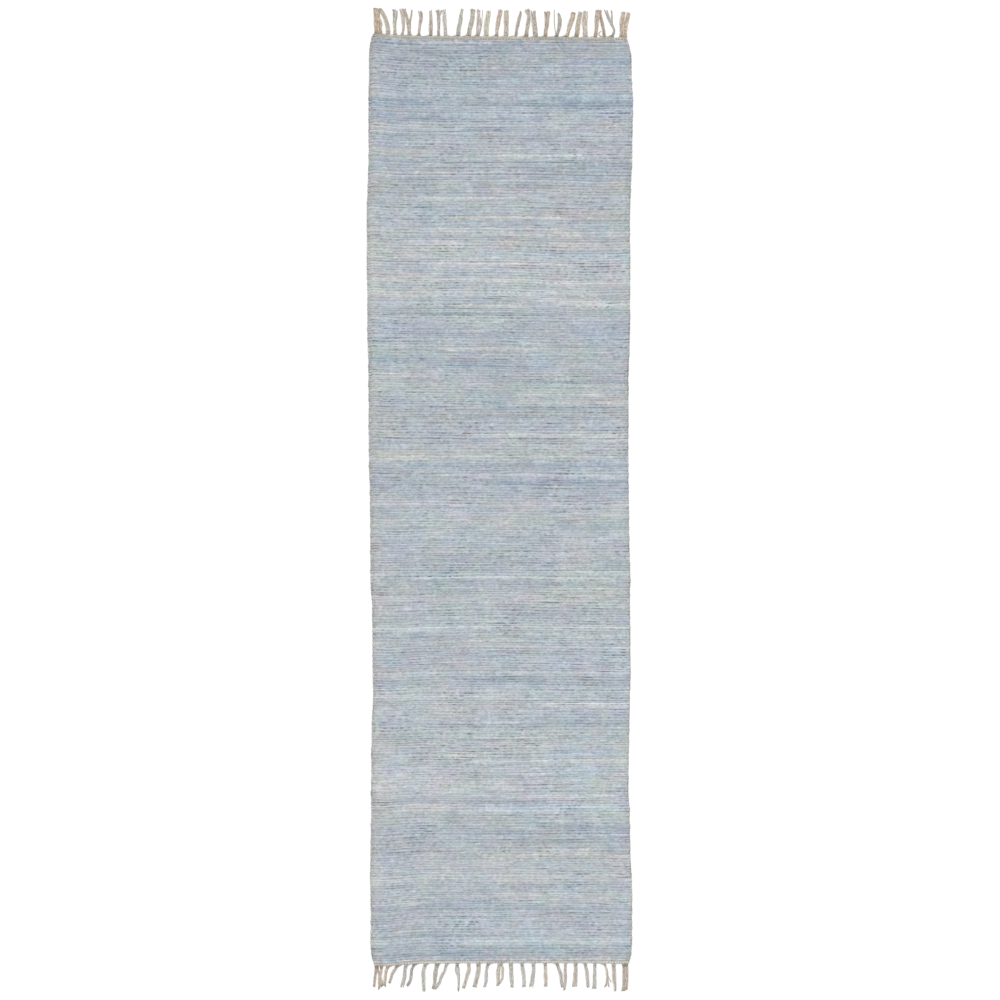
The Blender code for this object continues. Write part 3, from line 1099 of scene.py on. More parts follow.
@dataclass
class Weft:
    """The order in which the weaver laid the rags: one long weft that turns at every selvedge."""

    outline: Outline
    picks: int
    places: np.ndarray  # x of each column's middle, in metres
    stations: np.ndarray  # y of each pick, in metres
    rows: int  # of faces in a pick
    seed: int = 41
    pick_step: float = 7.1  # millimetres from pick to pick
    rag_length: float = 2.0  # the mean one, in metres
    rag_share: Tone = Tone(0.38, 0.55, 0.55)  # of each rag's own tone that shows
    rag_spread: Tone = Tone(1.2, 0.6, 0.4)  # among the rags of a sort
    shade_share: float = 0.82  # of each band's own tone that shows
    broad: Layers = table(Layer, (1.6, 14, 0.7), (6, 45, 0.5))
    folds: Layers = table(Layer, (0, 14, 0.9), (1.6, 4, 1.8))
    pick: Layers = table(Layer, (0, 0, 5.7))
    # Random tone on the rows beside each gap between picks, skewed dark: partly painted shade in
    # the gaps.
    gaps: Layers = table(
        Layer, (0, 0, 11.5), (0, 0.8, 5.6), (0, 5, 4.9), (0, 14, 2.7), (0, 45, 3.1)
    )
    threads: Layers = table(Layer, (0, 0, 4.5), (0, 0.8, 3.6), (0, 2, 2.8), (0, 5, 3.9))
    blues: Layers = table(
        Layer, (0, 6, 0.5), (1.4, 2.5, 1.6), (1.4, 6, 2.1), (1.6, 30, 1.1), (20, 6, 0.8)
    )
    greens: Layers = table(
        Layer, (0, 6, 0.4), (1.4, 2.5, 1.1), (1.4, 6, 1.4), (1.6, 120, 0.3), (15, 6, 0.3)
    )
    bleed: tuple[float, float] = (0.9, 0.0)  # picks and columns over which two dyes show mixed
    light_blue: float = -0.3  # how much bluer a rag is for being lighter
    light_green: float = 0.04
    end_green: float = -0.9  # at the rug's ends, fading inwards
    end_fade: float = 70 * MM
    end_painted_light: float = 14.0  # painted light on the cloth's lines beside the headings, lifting the shade there
    end_rows: int = 5  # of faces there that are uneven and yellowed
    end_light: float = 9.0
    end_yellow: tuple[float, float] = (4.0, 7.0)  # its mean and its spread
    streak_share: Tone = Tone(1.0, 1.3, 0.0)  # of its rag's own tone
    streak_fade: float = 30.0  # millimetres, at a streak's ends
    streak_sway: float = 20.0  # millimetres, of its ends from pick to pick
    flecks: float = 0.001  # of all faces
    fleck_depth: float = 7.0  # the least, and then how much more on average and at most
    fleck_more: float = 11.0
    fleck_most: float = 60.0

    def __post_init__(self) -> None:
        """Sets out its chance."""
        self.rng = np.random.default_rng(self.seed)

    def _along_weft(self, values: np.ndarray) -> np.ndarray:
        """Folds values along the weft into picks, turning round at each selvedge.

        Args:
            values: One value for each column of each pick, in the weft's order.

        Returns:
            The values, picks by columns.
        """
        folded = values.reshape(self.picks, len(self.places)).copy()
        folded[1::2] = folded[1::2, ::-1]
        return folded

    def _lengths(self) -> np.ndarray:
        """Cuts the weft into rags at random, and numbers them.

        Returns:
            The number of the rag that each place along the weft is in.
        """
        total, mean = self.picks * self.outline.width, self.rag_length
        cuts = self.rng.lognormal(np.log(mean) - 0.18, 0.6, int(3 * total / mean))
        places = np.linspace(0, total, self.picks * len(self.places))
        return np.searchsorted(np.cumsum(cuts), places)

    def _shade(self, part: str) -> np.ndarray:
        """How far a part of the tone goes up and down from band to band, for each pick."""
        return between_stations(SHADES, part, self.stations)[:, None] * self.shade_share

    def _lay_rags(self) -> tuple[np.ndarray, np.ndarray, np.ndarray]:
        """Draws the rags from the heap, and dyes them.

        Returns:
            How light, how blue and how green each rag is, picks by columns.
        """
        sorts, shares = list(SHARES), np.array(list(SHARES.values())) / 100
        lengths = self._lengths()
        drawn = self.rng.choice(len(sorts), lengths.max() + 1, p=shares)
        tones = np.array([sorts[index].value for index in drawn]) * self.rag_share
        tones += self.rng.normal(0, self.rag_spread, tones.shape)
        light, blue, green = (self._along_weft(tones[lengths, part]) for part in range(3))
        broad = self._shade("light") + uneven(self.rng, light.shape, self.broad)
        light += broad + uneven(self.rng, light.shape, self.folds)
        blue += self._shade("blue")
        blue = smoothed(blue + self.light_blue * (light - broad), self.bleed)
        blue += uneven(self.rng, light.shape, self.blues)
        green = smoothed(0.8 * green + self.light_green * light, self.bleed)
        green += uneven(self.rng, light.shape, self.greens)
        beyond = np.abs(self.stations) - self.outline.length / 2
        green += self.end_green * np.exp(beyond / self.end_fade)[:, None]
        light += uneven(self.rng, light.shape, self.pick)
        return light, blue, green

    def lay(self) -> dict[str, np.ndarray]:
        """Lays the rags.

        Returns:
            How light each face's rag is, with the painted shade and light laid on it, how blue and
            how green, rows by columns.
        """
        made = {
            name: np.repeat(grid, self.rows, 0) for name, grid in zip(TONES, self._lay_rags())
        }
        light, blue, _ = made.values()
        self._lay_streaks(light, blue)
        self._shade_gaps(light)
        light += uneven(self.rng, light.shape, self.threads)
        end_shape = (self.end_rows, light.shape[1])
        for end in (slice(0, self.end_rows), slice(-self.end_rows, None)):
            light[end] += self.end_light * smooth_noise(self.rng, end_shape, (1.0, 0.8))
            yellow, spread = self.end_yellow
            blue[end] -= yellow + spread * smooth_noise(self.rng, end_shape, (1.2, 1.8))
        self._add_flecks(light)
        return made

    def _lay_streaks(self, light: np.ndarray, blue: np.ndarray) -> None:
        """Lays the picks that stand out.

        Args:
            light: How light each face is. It is changed.
            blue: How blue each face is. It is changed.
        """
        for rag, streaks in STREAKS.items():
            tone = np.array(rag.value) * self.streak_share
            for streak in streaks:
                lowest = (streak.station - (streak.picks - 1) * self.pick_step / 2) * MM
                first = int(np.abs(self.stations - lowest).argmin())
                for pick in range(first, first + streak.picks):
                    place = self.places / MM + self.streak_sway * np.sin(2.4 * pick)
                    inside = ease((place - streak.start) / self.streak_fade)
                    inside = inside * ease((streak.stop - place) / self.streak_fade)
                    rows = slice(pick * self.rows, (pick + 1) * self.rows)
                    light[rows] += inside * tone[0]
                    blue[rows] += inside * tone[1]

    def _shade_gaps(self, light: np.ndarray) -> None:
        """Paints shade of random depth into the gaps between the picks, and painted light into the
        two end gaps.

        Args:
            light: How light each face is. It is changed.
        """
        gaps = uneven(self.rng, (self.picks + 1, light.shape[1]), self.gaps)
        gaps -= 0.11 * (gaps**2 / gaps.std() - gaps.std())
        deeper = np.exp(0.4 * smooth_noise(self.rng, gaps.shape, (2.4, 8)))
        gaps *= np.where(gaps < 0, deeper, 1)
        # Painted light on the two end lines, in place of the shade of a gap.
        gaps[0] = gaps[-1] = self.end_painted_light
        light[0 :: self.rows] += gaps[:-1]
        light[self.rows - 1 :: self.rows] += gaps[1:]

    def _add_flecks(self, light: np.ndarray) -> None:
        """Darkens a short dash here and there, where a rag's frayed edge turns up.

        Args:
            light: How light each face's rag is. It is changed.
        """
        count = int(light.size * self.flecks)
        rows = self.rng.integers(0, light.shape[0] - 2, count)
        columns = self.rng.integers(0, light.shape[1] - 3, count)
        more = np.minimum(self.rng.exponential(self.fleck_more, count), self.fleck_most)
        depth = self.fleck_depth + more
        for reach, share in enumerate((0.6, 1.0, 0.6)):
            light[rows, columns + reach] -= depth * share
            light[rows + 1, columns + reach] -= depth * share * 0.7


@dataclass(frozen=True)
class Wear:
    """How far the selvedges are worn and greyed, with painted shade: amounts in 8-bit steps, places
    from the rim.
    """

    width: float = 9.5 * MM
    blue: float = 8.0
    left: float = 10.0
    right: float = 6.0
    yellow: float = 6.0  # beside the left selvedge
    yellow_width: float = 40.0 * MM
    line: float = 6.0  # painted shade along the crease where the strip meets the weaving
    line_at: float = 10.1 * MM
    loops: float = 4.2 * MM  # how far in the loops show
    nick: float = 26.0  # painted shade in the nick between two loops
    dirt: float = 9.0


@dataclass
class RagCloth:
    """The woven cloth: rags beaten down over cotton warps, with a firm selvedge on each side."""

    outline: Outline
    picks: int = 350
    bands: int = 7
    spaces: int = 208  # between the warps, from one selvedge strip to the other
    spaces_below: int = 4  # of those to one of the underside
    strip: float = 11.0 * MM  # selvedge strip
    rag: float = 5.5  # millimetres of the strip that a pick lies over or under
    crest: float = 5.7 * MM
    dip: float = 5.3 * MM  # crest of a pick where it passes under a warp
    valley: float = 4.15 * MM
    end_height: float = 4.0 * MM
    bulge: float = 0.4 * MM  # how far a pick spreads over its neighbours between warps
    waist: float = 3.0 * MM  # height of the rim
    loop: float = 5.0 * MM  # how far in from the rim a loop of the weft reaches
    loop_spread: float = 0.45 * MM
    nick: float = 2.3 * MM  # between two loops of the weft at the rim
    furrow: float = 0.45 * MM  # along the selvedge's inner line
    uneven: float = 0.18  # spread of the picks' thickness
    plump: float = 0.16 * MM  # spread of the crests' height
    sunk: float = 0.12 * MM  # spread of the valleys' height
    ribs: tuple[float, float] = (1.3 * MM, 0.08 * MM)  # heights of the underside
    wear: Wear = Wear()
    seed: int = 7
    insets: tuple[float, ...] = (0.0, 0.7, 2.0, 3.6, 5.4, 7.3, 9.2)  # columns, in millimetres
    rim: tuple[float, ...] = (0.0, 0.6, 0.9, 1.0)  # the height's share at the first of them
    phases: tuple[float, ...] = (0.0, 0.22, 0.5, 0.78)  # of a pick, at its rows of points
    profile: tuple[float, ...] = (0.0, 0.72, 1.0, 0.72)
    wander: Layers = table(  # of the lines between the picks, in millimetres
        Layer, (0, 6, 0.3), (11, 34, 1.2), (0, 60, 0.7, 1.6), (1.6, 50, 0.9, 2.0)
    )

    def __post_init__(self) -> None:
        """Works out where the columns of the skin lie."""
        self.rng = np.random.default_rng(self.seed)
        edge = np.array(self.insets) * MM
        inner, strips = np.linspace(0, 1, self.spaces + 1), np.full(self.spaces + 1, self.strip)
        self.inset = np.r_[edge, strips, edge[::-1]]
        self.share = np.r_[np.zeros(len(edge)), inner, np.ones(len(edge))]
        self.offset = np.r_[edge, strips, 2 * self.strip - edge[::-1]]
        width = self.outline.width
        self.nominal = self.offset + self.share * (width - 2 * self.strip) - width / 2
        self.middles = (self.nominal[:-1] + self.nominal[1:]) / 2
        self.count = len(self.inset)
        self.firm = ease(1 - self.inset / self.strip)  # 1 at the rim, 0 inside the strip
        self.is_left = np.arange(self.count) < self.count / 2

    def _over(self) -> np.ndarray:
        """Weaves the picks over and under the warps.

        Returns:
            How far each pick lies over them at each column, from 0 to 1, picks by columns.
        """
        picks = np.arange(self.picks)[:, None]
        inner = (picks + np.arange(self.count) + 1) % 2
        turn = np.cos(np.pi * (self.inset / MM / self.rag - 0.5))
        return np.where(self.inset < self.strip, 0.5 + 0.5 * (-1.0) ** picks * turn, inner)

    def _lines(self, over: np.ndarray) -> np.ndarray:
        """Y of the lines between the picks, where each bulges and wanders.

        Args:
            over: How far each pick lies over the warps.

        Returns:
            The lines' y, with one more row than picks.
        """
        shape = (self.picks + 1, self.count)
        thick = np.exp(self.uneven * self.rng.standard_normal(self.picks))
        share = np.r_[0, np.cumsum(thick)][:, None]
        share /= share[-1]
        foot, head = (self.outline.cloth_end(end, self.nominal) for end in (End.FOOT, End.HEAD))
        taper = ease(np.minimum(share, 1 - share) * self.picks / 3)
        wander = uneven(self.rng, shape, self.wander) * MM
        swing = np.zeros(shape)
        swing[1:-1] = (over[:-1] - over[1:]) * self.bulge * (1 - 0.8 * self.firm)
        return foot + (head - foot) * share + taper * wander + swing

    def _loops(self) -> tuple[np.ndarray, np.ndarray]:
        """How open each line between picks is at the rim, and how far each loop stands out.

        Returns:
            For each line and column, from 0 inside a loop to 1 between two, and each pick's
            reach in metres.
        """
        lines = np.arange(self.picks + 1)[:, None]
        between = np.where(self.is_left, lines % 2, 1 - lines % 2).astype(float)
        left, right = self.rng.normal(0, self.loop_spread, (self.picks // 2 + 2, 2)).T
        picks = np.arange(self.picks)[:, None]
        return between, np.where(self.is_left, left[(picks + 1) // 2], right[picks // 2])

    def _heights(self, over: np.ndarray, between: np.ndarray) -> tuple[np.ndarray, np.ndarray]:
        """Z of the picks' crests, and of the lines between them.

        Args:
            over: How far each pick lies over the warps.
            between: How open each line is at the rim.

        Returns:
            The crests, and the valleys with one more row.
        """
        plump = self.plump * smooth_noise(self.rng, over.shape, (0.4, 1.2))
        crest = self.dip + (self.crest - self.dip) * over + plump
        depth = self.rng.normal(0, self.sunk, (self.picks + 1, 1))
        fill = (crest.mean() - self.valley) * 0.75 * (1 - between)
        return crest, self.valley + depth + (fill - 0.5 * MM * between) * self.firm

    def _across(self, y: np.ndarray, drop: np.ndarray, reach: np.ndarray) -> np.ndarray:
        """X of the top's points.

        Args:
            y: Their y.
            drop: How open the rim is at each row, from 0 inside a loop to 1 between two.
            reach: How far each pick's loop stands out.

        Returns:
            Their x.
        """
        outward = np.r_[np.repeat(reach, len(self.phases), 0), reach[-1:]]
        inward = (self.nick * drop - outward) * np.clip(1 - self.inset / self.loop, 0, 1)
        left, right = self.outline.selvedge(y, -1), self.outline.selvedge(y, 1)
        x = left + self.offset + self.share * (right - left - 2 * self.strip)
        x = np.where(self.share == 1, right - self.inset, x)
        return x + np.where(self.is_left, inward, -inward)

    def lay_top(self) -> tuple[np.ndarray, np.ndarray]:
        """Lays the whole top.

        Returns:
            Its grid of points, and for each its x across the weave, its place in the order of
            picks, and how far it lies over the warps.
        """
        over = self._over()
        lines = self._lines(over)
        between, reach = self._loops()
        crest, valley = self._heights(over, between)
        steps = len(self.phases)
        shape = (self.picks * steps + 1, self.count)
        y, z, drop = (np.zeros(shape) for _ in range(3))
        for step, (phase, rise) in enumerate(zip(self.phases, self.profile)):
            rows, near, far = slice(step, -1, steps), 1 - phase, phase
            low = valley[:-1] * near + valley[1:] * far
            y[rows] = lines[:-1] * near + lines[1:] * far
            z[rows] = low + (crest - low) * rise
            drop[rows] = between[:-1] * max(0, 4 * near - 3) + between[1:] * max(0, 4 * far - 3)
        y[-1], drop[-1] = lines[-1], between[-1]
        z[0] = z[-1] = self.end_height
        z = self.waist + (z - self.waist) * np.interp(
            self.inset / MM, self.insets[: len(self.rim)], self.rim
        )
        z[:, np.isclose(self.inset, self.insets[-1] * MM)] -= self.furrow
        place = np.repeat(np.arange(self.picks), steps) + np.tile(self.phases, self.picks)
        lying = np.full(shape, 0.5)
        lying[2:-1:steps] = over
        lying[1:-1:steps] = lying[3:-1:steps] = 0.2 + 0.6 * over
        place = np.r_[place, self.picks][:, None]
        weave = np.stack(np.broadcast_arrays(self.nominal, place, lying), -1)
        return np.stack((self._across(y, drop, reach), y, z), -1), weave

    def lay_under(self, top: np.ndarray) -> tuple[np.ndarray, np.ndarray]:
        """Lays the underside below the top, in shallow ribs.

        Args:
            top: The top's grid of points.

        Returns:
            The underside's grid, and the top's column over each of its own.
        """
        rng = np.random.default_rng(self.seed + 1)
        edge = len(self.insets)
        middle = np.arange(edge, edge + self.spaces + 1, self.spaces_below)
        picked = np.r_[1, 3, middle, self.count - 4, self.count - 2]
        under = top[:: len(self.phases) // 2, picked].copy()
        heights = np.array(self.ribs)[np.arange(len(under)) % 2, None]
        under[..., 2] = heights + np.abs(rng.normal(0, 0.1 * MM, under.shape[:2]))
        under[:, (0, -1), 2] = 1.2 * MM
        return under, picked

    def _age_selvedges(self, light: np.ndarray, blue: np.ndarray) -> None:
        """Greys the selvedges, and paints shade along their inner crease and into the nicks between
        their loops.

        Args:
            light: How light each face is. It is changed.
            blue: How blue each face is. It is changed.
        """
        wear, left = self.wear, self.is_left[:-1]
        inner = self.outline.width / 2 - np.abs(self.middles)
        worn = ease(1.3 - inner / wear.width)
        blue -= wear.blue * worn**0.5 + wear.yellow * left * ease(1.1 - inner / wear.yellow_width)
        light -= np.where(left, wear.left, wear.right) * worn
        # Painted shade along the crease beside the selvedge strip.
        light -= wear.line * (np.abs(inner - wear.line_at) < 1.0 * MM)
        line, step = np.divmod(np.arange(len(light))[:, None] + 1, len(self.phases))
        is_open = np.where(left, line % 2, 1 - line % 2) * (step < 2)
        # Painted shade in the nicks between the loops.
        light -= wear.nick * is_open * (inner < wear.loops)
        rng = np.random.default_rng(self.seed + 2)
        dirt = [smooth_noise(rng, (len(light), 1), (5, 0)) for _ in range(2)]
        light -= wear.dirt * np.where(left, *dirt) * (inner < wear.loops)

    def build(self, finish: bpy.types.Material) -> list[bpy.types.Object]:
        """Builds the cloth and dresses it.

        Args:
            finish: The rags' material.

        Returns:
            Its bands, from the foot end to the head end.
        """
        steps = len(self.phases)
        top, weave = self.lay_top()
        under, picked = self.lay_under(top)
        stations = top[2::steps, self.count // 2, 1]
        rags = Weft(self.outline, self.picks, self.middles, stations, steps).lay()
        self._age_selvedges(rags["rag_light"], rags["rag_blue"])
        length = self.picks // self.bands * steps
        pieces = []
        for band in range(self.bands):
            start, stop = band * length, (band + 1) * length
            facts = {
                name: 0.5 + rags[name][start:stop] / span for name, span in zip(TONES, SPANS)
            }
            low = under[start // 2 : stop // 2 + 1]
            skin = Skin(top[start : stop + 1], low, steps // 2, picked)
            rows = weave[start : stop + 1]
            piece = skin.build(f"rag_cloth_{band + 1}", ("weave", rows), facts)
            piece.data.materials.append(finish)
            pieces.append(piece)
        return pieces


@dataclass
class Heading:
    """The narrow cotton heading that holds the rags at one end."""

    outline: Outline
    end: End
    wear: float  # how much darker the whole heading is, 0.6 of it at the brink
    dull: float  # how much darker it is beside the cloth alone
    tan: float  # how much warmer it is at the brink
    tug: float  # how far a lock pulls the brink out
    eyes_at: float  # where the gaps in the weaving lie, from the cloth to the brink
    picks: int = 5
    profile: tuple[float, ...] = (0.0, 0.75, 1.0, 0.75)  # of a pick
    spaces: int = 430
    space: float = 1.6  # millimetres
    margin: float = 3.0 * MM  # at both sides of its table
    crest: float = 4.4 * MM
    valley: float = 3.7 * MM
    brink: float = 1.0 * MM
    waist: float = 1.8 * MM
    foot_width: float = 8.0 * MM  # of a lock's pull on the brink
    wander: float = 0.12 * MM  # of the lines between its yarns
    bumps: float = 0.1 * MM
    rounds_at: float = 0.7  # where it starts to round off to the brink
    eyelet: float = 7.5  # millimetres between the gaps in the weaving
    eye_depth: float = 1.2 * MM
    stains: Layers = table(Layer, (4, 5, 0.16), (2.5, 1.6, 0.16))
    casts: Layers = table(Layer, (9, 10, 0.5), (2.5, 1.6, 0.3))
    warmths: Layers = table(Layer, (5, 3, 0.12), (9, 14, 0.1))
    seed: int = 19

    def __post_init__(self) -> None:
        """Works out where its points lie in the weave."""
        self.rng = np.random.default_rng(self.seed + self.end.value)
        self.count, self.steps = self.spaces + 1, len(self.profile)
        reach = self.outline.width / 2 - self.margin
        self.nominal = np.linspace(-reach, reach, self.count)
        self.row = np.arange(self.picks * self.steps + 1)[:, None]
        self.share = self.row / self.row[-1]
        # From 0 at the cloth to 1 at the brink.
        self.out = self.share if self.end is End.HEAD else 1 - self.share
        self.pick = np.minimum(self.row // self.steps, self.picks - 1)

    def _pull(self) -> np.ndarray:
        """Hangs the locks on the brink.

        Returns:
            How hard they pull it at each column.
        """
        locks = LOCKS[self.end]
        feet = [np.mean([part.path[0] for part in lock.strands]) + lock.foot for lock in locks]
        aside = (self.nominal[:, None] - np.array(feet) * MM) / self.foot_width
        return np.exp(-(aside**2)).sum(1)

    def _lines(self, pull: np.ndarray) -> tuple[np.ndarray, np.ndarray]:
        """X and y of its points.

        Args:
            pull: How hard the locks pull the brink.

        Returns:
            Both coordinates, rows by columns.
        """
        inner = self.outline.seam(self.end, self.nominal)
        outer = self.outline.brink(self.end, self.nominal)
        first, last = (inner, outer) if self.end is End.HEAD else (outer, inner)
        y = first + (last - first) * self.share
        y[1:-1] += self.wander * smooth_noise(self.rng, y[1:-1].shape, (3, 6))
        y += self.end.value * self.out**3 * (pull - 0.3) * self.tug
        left, right = self.outline.selvedge(y, -1), self.outline.selvedge(y, 1)
        return left + (right - left) * np.linspace(0, 1, self.count), y

    def _eyes(self) -> np.ndarray:
        """Opens small gaps in the weaving.

        Returns:
            How far it is open at each point, at most 1.
        """
        turns = np.cumsum(self.rng.uniform(0.7, 1.3, self.count)) * self.space / self.eyelet
        eyes = np.cos(2 * np.pi * turns)
        eyes = eyes * ease(0.8 + smooth_noise(self.rng, (1, self.count), (0, 9))[0])
        return eyes * np.clip(1.3 - 3.5 * np.abs(self.out - self.eyes_at), 0, 1)

    def _heights(self, bumps: np.ndarray, eyes: np.ndarray) -> np.ndarray:
        """Z of its points.

        Args:
            bumps: How far each stands out of the weaving.
            eyes: How far the weaving is open.

        Returns:
            The heights, rows by columns.
        """
        over = 0.5 + 0.5 * np.cos(np.pi * (np.arange(self.count) / 2 + self.pick))
        rise = np.array(self.profile)[self.row % self.steps]
        z = self.valley + (self.crest - self.valley) * rise * (0.45 + 0.55 * over) + bumps
        z -= self.eye_depth * np.maximum(eyes, 0)
        z = np.where(self.out == 0, self.valley, z)
        past = np.clip((self.out - self.rounds_at) / (1 - self.rounds_at), 0, 1)
        z = self.brink + (z - self.brink) * np.sqrt(1 - past**2)
        columns = np.arange(self.count)
        rim = np.interp(np.minimum(columns, columns[::-1]), (0, 1, 2), (0, 0.75, 1))
        return self.waist + (z - self.waist) * rim

    def _tones(self, pull: np.ndarray, eyes: np.ndarray) -> dict[str, np.ndarray]:
        """How soiled its faces are, with painted shade in its eyes, their cast, and how warm they
        are.

        Args:
            pull: How hard the locks pull the brink.
            eyes: How far the weaving is open.

        Returns:
            Each by its name, as a grid over the faces.
        """
        shape = (len(self.row) - 1, self.spaces)
        out = (self.out[:-1] + self.out[1:]) / 2
        soil, warmth, green = (
            between_stations(TINGES[self.end], part, self.nominal[:-1])
            for part in ("soil", "warm", "green")
        )
        # Darker over the whole heading, and more towards the cloth.
        grime_and_shade = self.wear * (0.6 + 0.4 * ease(1.15 - 1.6 * out)) + self.dull * ease(1.1 - 1.6 * out)
        grime_and_shade = grime_and_shade + soil + 0.2 * pull[:-1] * ease(2 * out - 0.8)
        # Painted shade in the eyes of the weaving, and lighter between them.
        grime_and_shade = grime_and_shade + 0.75 * (eyes[:-1, :-1] + eyes[1:, 1:])
        grime_and_shade = grime_and_shade + uneven(self.rng, shape, self.stains)
        cast = 0.5 + green + uneven(self.rng, shape, self.casts)
        warm = 0.5 + warmth + self.tan * out + uneven(self.rng, shape, self.warmths)
        return {"grime_and_shade": grime_and_shade, "cast": cast, "warm": warm}

    def build(self, finish: bpy.types.Material) -> bpy.types.Object:
        """Builds the heading and dresses it.

        Args:
            finish: The cotton's material.

        Returns:
            The heading.
        """
        pull = self._pull()
        x, y = self._lines(pull)
        bumps = self.bumps * smooth_noise(self.rng, y.shape, (0.5, 2))
        eyes = self._eyes()
        top = np.stack((x, y, self._heights(bumps, eyes)), -1)
        picked = np.r_[1, np.arange(6, self.count - 6, 8), self.count - 2]
        under = top[:: self.steps, picked].copy()
        under[..., 2] = 0.2 * MM + np.abs(self.rng.normal(0, 0.1 * MM, under.shape[:2]))
        # The 0.37 gives each pick a number of its own in the finish's noise.
        parts = np.broadcast_arrays(self.row / self.steps, self.nominal, self.pick * 0.37)
        facts = self._tones(pull, eyes)
        skin = Skin(top, under, self.steps, picked, runs=8)
        name = f"{self.end.name.lower()}_heading"
        piece = skin.build(name, ("yarn", np.stack(parts, -1)), facts)
        piece.data.materials.append(finish)
        return piece


class Yarn(NamedTuple):
    """One yarn: its centre line, its radius and its grime and painted shade at each point of it,
    its cast, its warmth, and whether it is a ring."""

    path: np.ndarray
    radius: np.ndarray
    grime_and_shade: np.ndarray
    cast: float
    warm: float
    is_ring: bool = False


class Cell(NamedTuple):
    """A yarn's place in the mesh: its first point, its corner and size on the map, its number."""

    start: int
    corner: np.ndarray
    size: np.ndarray
    number: float


@dataclass
class Tubes:
    """Round yarns as one mesh."""

    sides: int = 5
    seed: int = 5
    around: Span = Span(0.08, 0.84)  # of a yarn's cell on the map
    along: Span = Span(0.04, 0.84)

    def __post_init__(self) -> None:
        """Starts an empty mesh."""
        self.points: list[np.ndarray] = []
        self.faces: list[tuple[int, ...]] = []
        self.places: list[np.ndarray] = []
        self.turns: list[tuple[float, float, float]] = []
        self.facts: list[tuple[float, float, float]] = []

    def build(self, name: str, yarns: Sequence[Yarn]) -> bpy.types.Object:
        """Makes the mesh.

        Args:
            name: The piece's name.
            yarns: The yarns.

        Returns:
            The piece.
        """
        rng = np.random.default_rng(self.seed)
        cells = int(np.ceil(np.sqrt(len(yarns) * 4.0)))
        size = np.array((1 / cells, 1 / -(-len(yarns) // cells)))
        start = 0
        for index, yarn in enumerate(yarns):
            self.points.append(self._tube(yarn).reshape(-1, 3))
            corner = size * (index % cells, index // cells)
            self._wrap(yarn, Cell(start, corner, size, float(rng.random())))
            start += len(yarn.path) * self.sides
        return self._mesh(name)

    def _tube(self, yarn: Yarn) -> np.ndarray:
        """Sets points round one yarn.

        Args:
            yarn: The yarn.

        Returns:
            The points, rings by sides.
        """
        run = np.gradient(yarn.path, axis=0)
        if yarn.is_ring:
            run[0] = run[-1] = yarn.path[1] - yarn.path[-2]
        run /= np.linalg.norm(run, axis=1, keepdims=True)
        upright = np.array((0, 1, 0)) if yarn.is_ring else np.array((0, 0, 1))
        aside = np.cross(run, upright)
        aside /= np.linalg.norm(aside, axis=1, keepdims=True)
        rise = np.cross(aside, run)
        angle = (np.arange(self.sides) * 2 * np.pi / self.sides)[:, None]
        out = aside[:, None] * np.cos(angle) + rise[:, None] * np.sin(angle)
        return yarn.path[:, None] + out * yarn.radius[:, None, None]

    def _wrap(self, yarn: Yarn, cell: Cell) -> None:
        """Adds one yarn's faces.

        Args:
            yarn: The yarn.
            cell: Its place in the mesh.
        """
        count, sides = len(yarn.path), self.sides
        along = np.r_[0, np.cumsum(np.linalg.norm(np.diff(yarn.path, axis=0), axis=1))]
        for step in range(count - 1):
            low, high = cell.start + step * sides, cell.start + (step + 1) * sides
            for side in range(sides):
                after = (side + 1) % sides
                self.faces.append((low + side, low + after, high + after, high + side))
                for turn, up in (
                    (side, step),
                    (side + 1, step),
                    (side + 1, step + 1),
                    (side, step + 1),
                ):
                    spot = (self.around.at(turn / sides), self.along.at(up / (count - 1)))
                    self._corner(yarn, up, cell, spot, (turn / sides, along[up]))
        if yarn.is_ring:
            return
        around = np.arange(sides) * 2 * np.pi / sides
        for ring, middle, order in ((0, 0.3, -1), (count - 1, 0.7, 1)):
            base = cell.start + ring * sides
            self.faces.append(tuple(base + side for side in range(sides))[::order])
            for angle in around[::order]:
                spot = (middle + 0.12 * np.cos(angle) * order, 0.94 + 0.035 * np.sin(angle))
                self._corner(yarn, ring, cell, spot, (angle / (2 * np.pi), 0.0))

    def _corner(
        self,
        yarn: Yarn,
        ring: int,
        cell: Cell,
        spot: tuple[float, float],
        turn: tuple[float, float],
    ) -> None:
        """Adds what one corner of a face holds.

        Args:
            yarn: The yarn.
            ring: The point of its centre line.
            cell: Its place in the mesh.
            spot: The corner's place in its cell.
            turn: How far it is round the yarn and along it.
        """
        self.places.append(cell.corner + cell.size * spot)
        self.turns.append((*turn, cell.number))
        self.facts.append((yarn.grime_and_shade[ring], yarn.cast, yarn.warm))

    def _mesh(self, name: str) -> bpy.types.Object:
        """Puts the yarns in one mesh.

        Args:
            name: The piece's name.

        Returns:
            The piece.
        """
        mesh = bpy.data.meshes.new(name)
        mesh.from_pydata(np.concatenate(self.points), [], self.faces)
        is_side = np.array([len(face) == 4 for face in self.faces])
        mesh.polygons.foreach_set("use_smooth", is_side)
        mesh.uv_layers.new(name="OFBake").uv.foreach_set("vector", np.array(self.places).ravel())
        held = mesh.attributes.new("yarn", "FLOAT_VECTOR", "CORNER")
        held.data.foreach_set("vector", np.array(self.turns).ravel())
        for fact, values in zip(("grime_and_shade", "cast", "warm"), np.array(self.facts).T):
            held = mesh.attributes.new(fact, "FLOAT", "CORNER")
            held.data.foreach_set("value", values.copy())
        return placed(mesh)


class Bundle(NamedTuple):
    """How a strand's warp ends lie: its own row, how wide its lock's foot is, the bounds of that
    foot beside it, how many ends turn round its core, and how often they turn."""

    strand: Strand
    foot: float
    edges: tuple[float, float]
    core: int
    turns: float


class Wrap(NamedTuple):
    """One turn of a knot: how far from the heading it lies, in millimetres, its slant and girth."""

    place: float
    slant: float
    girth: float


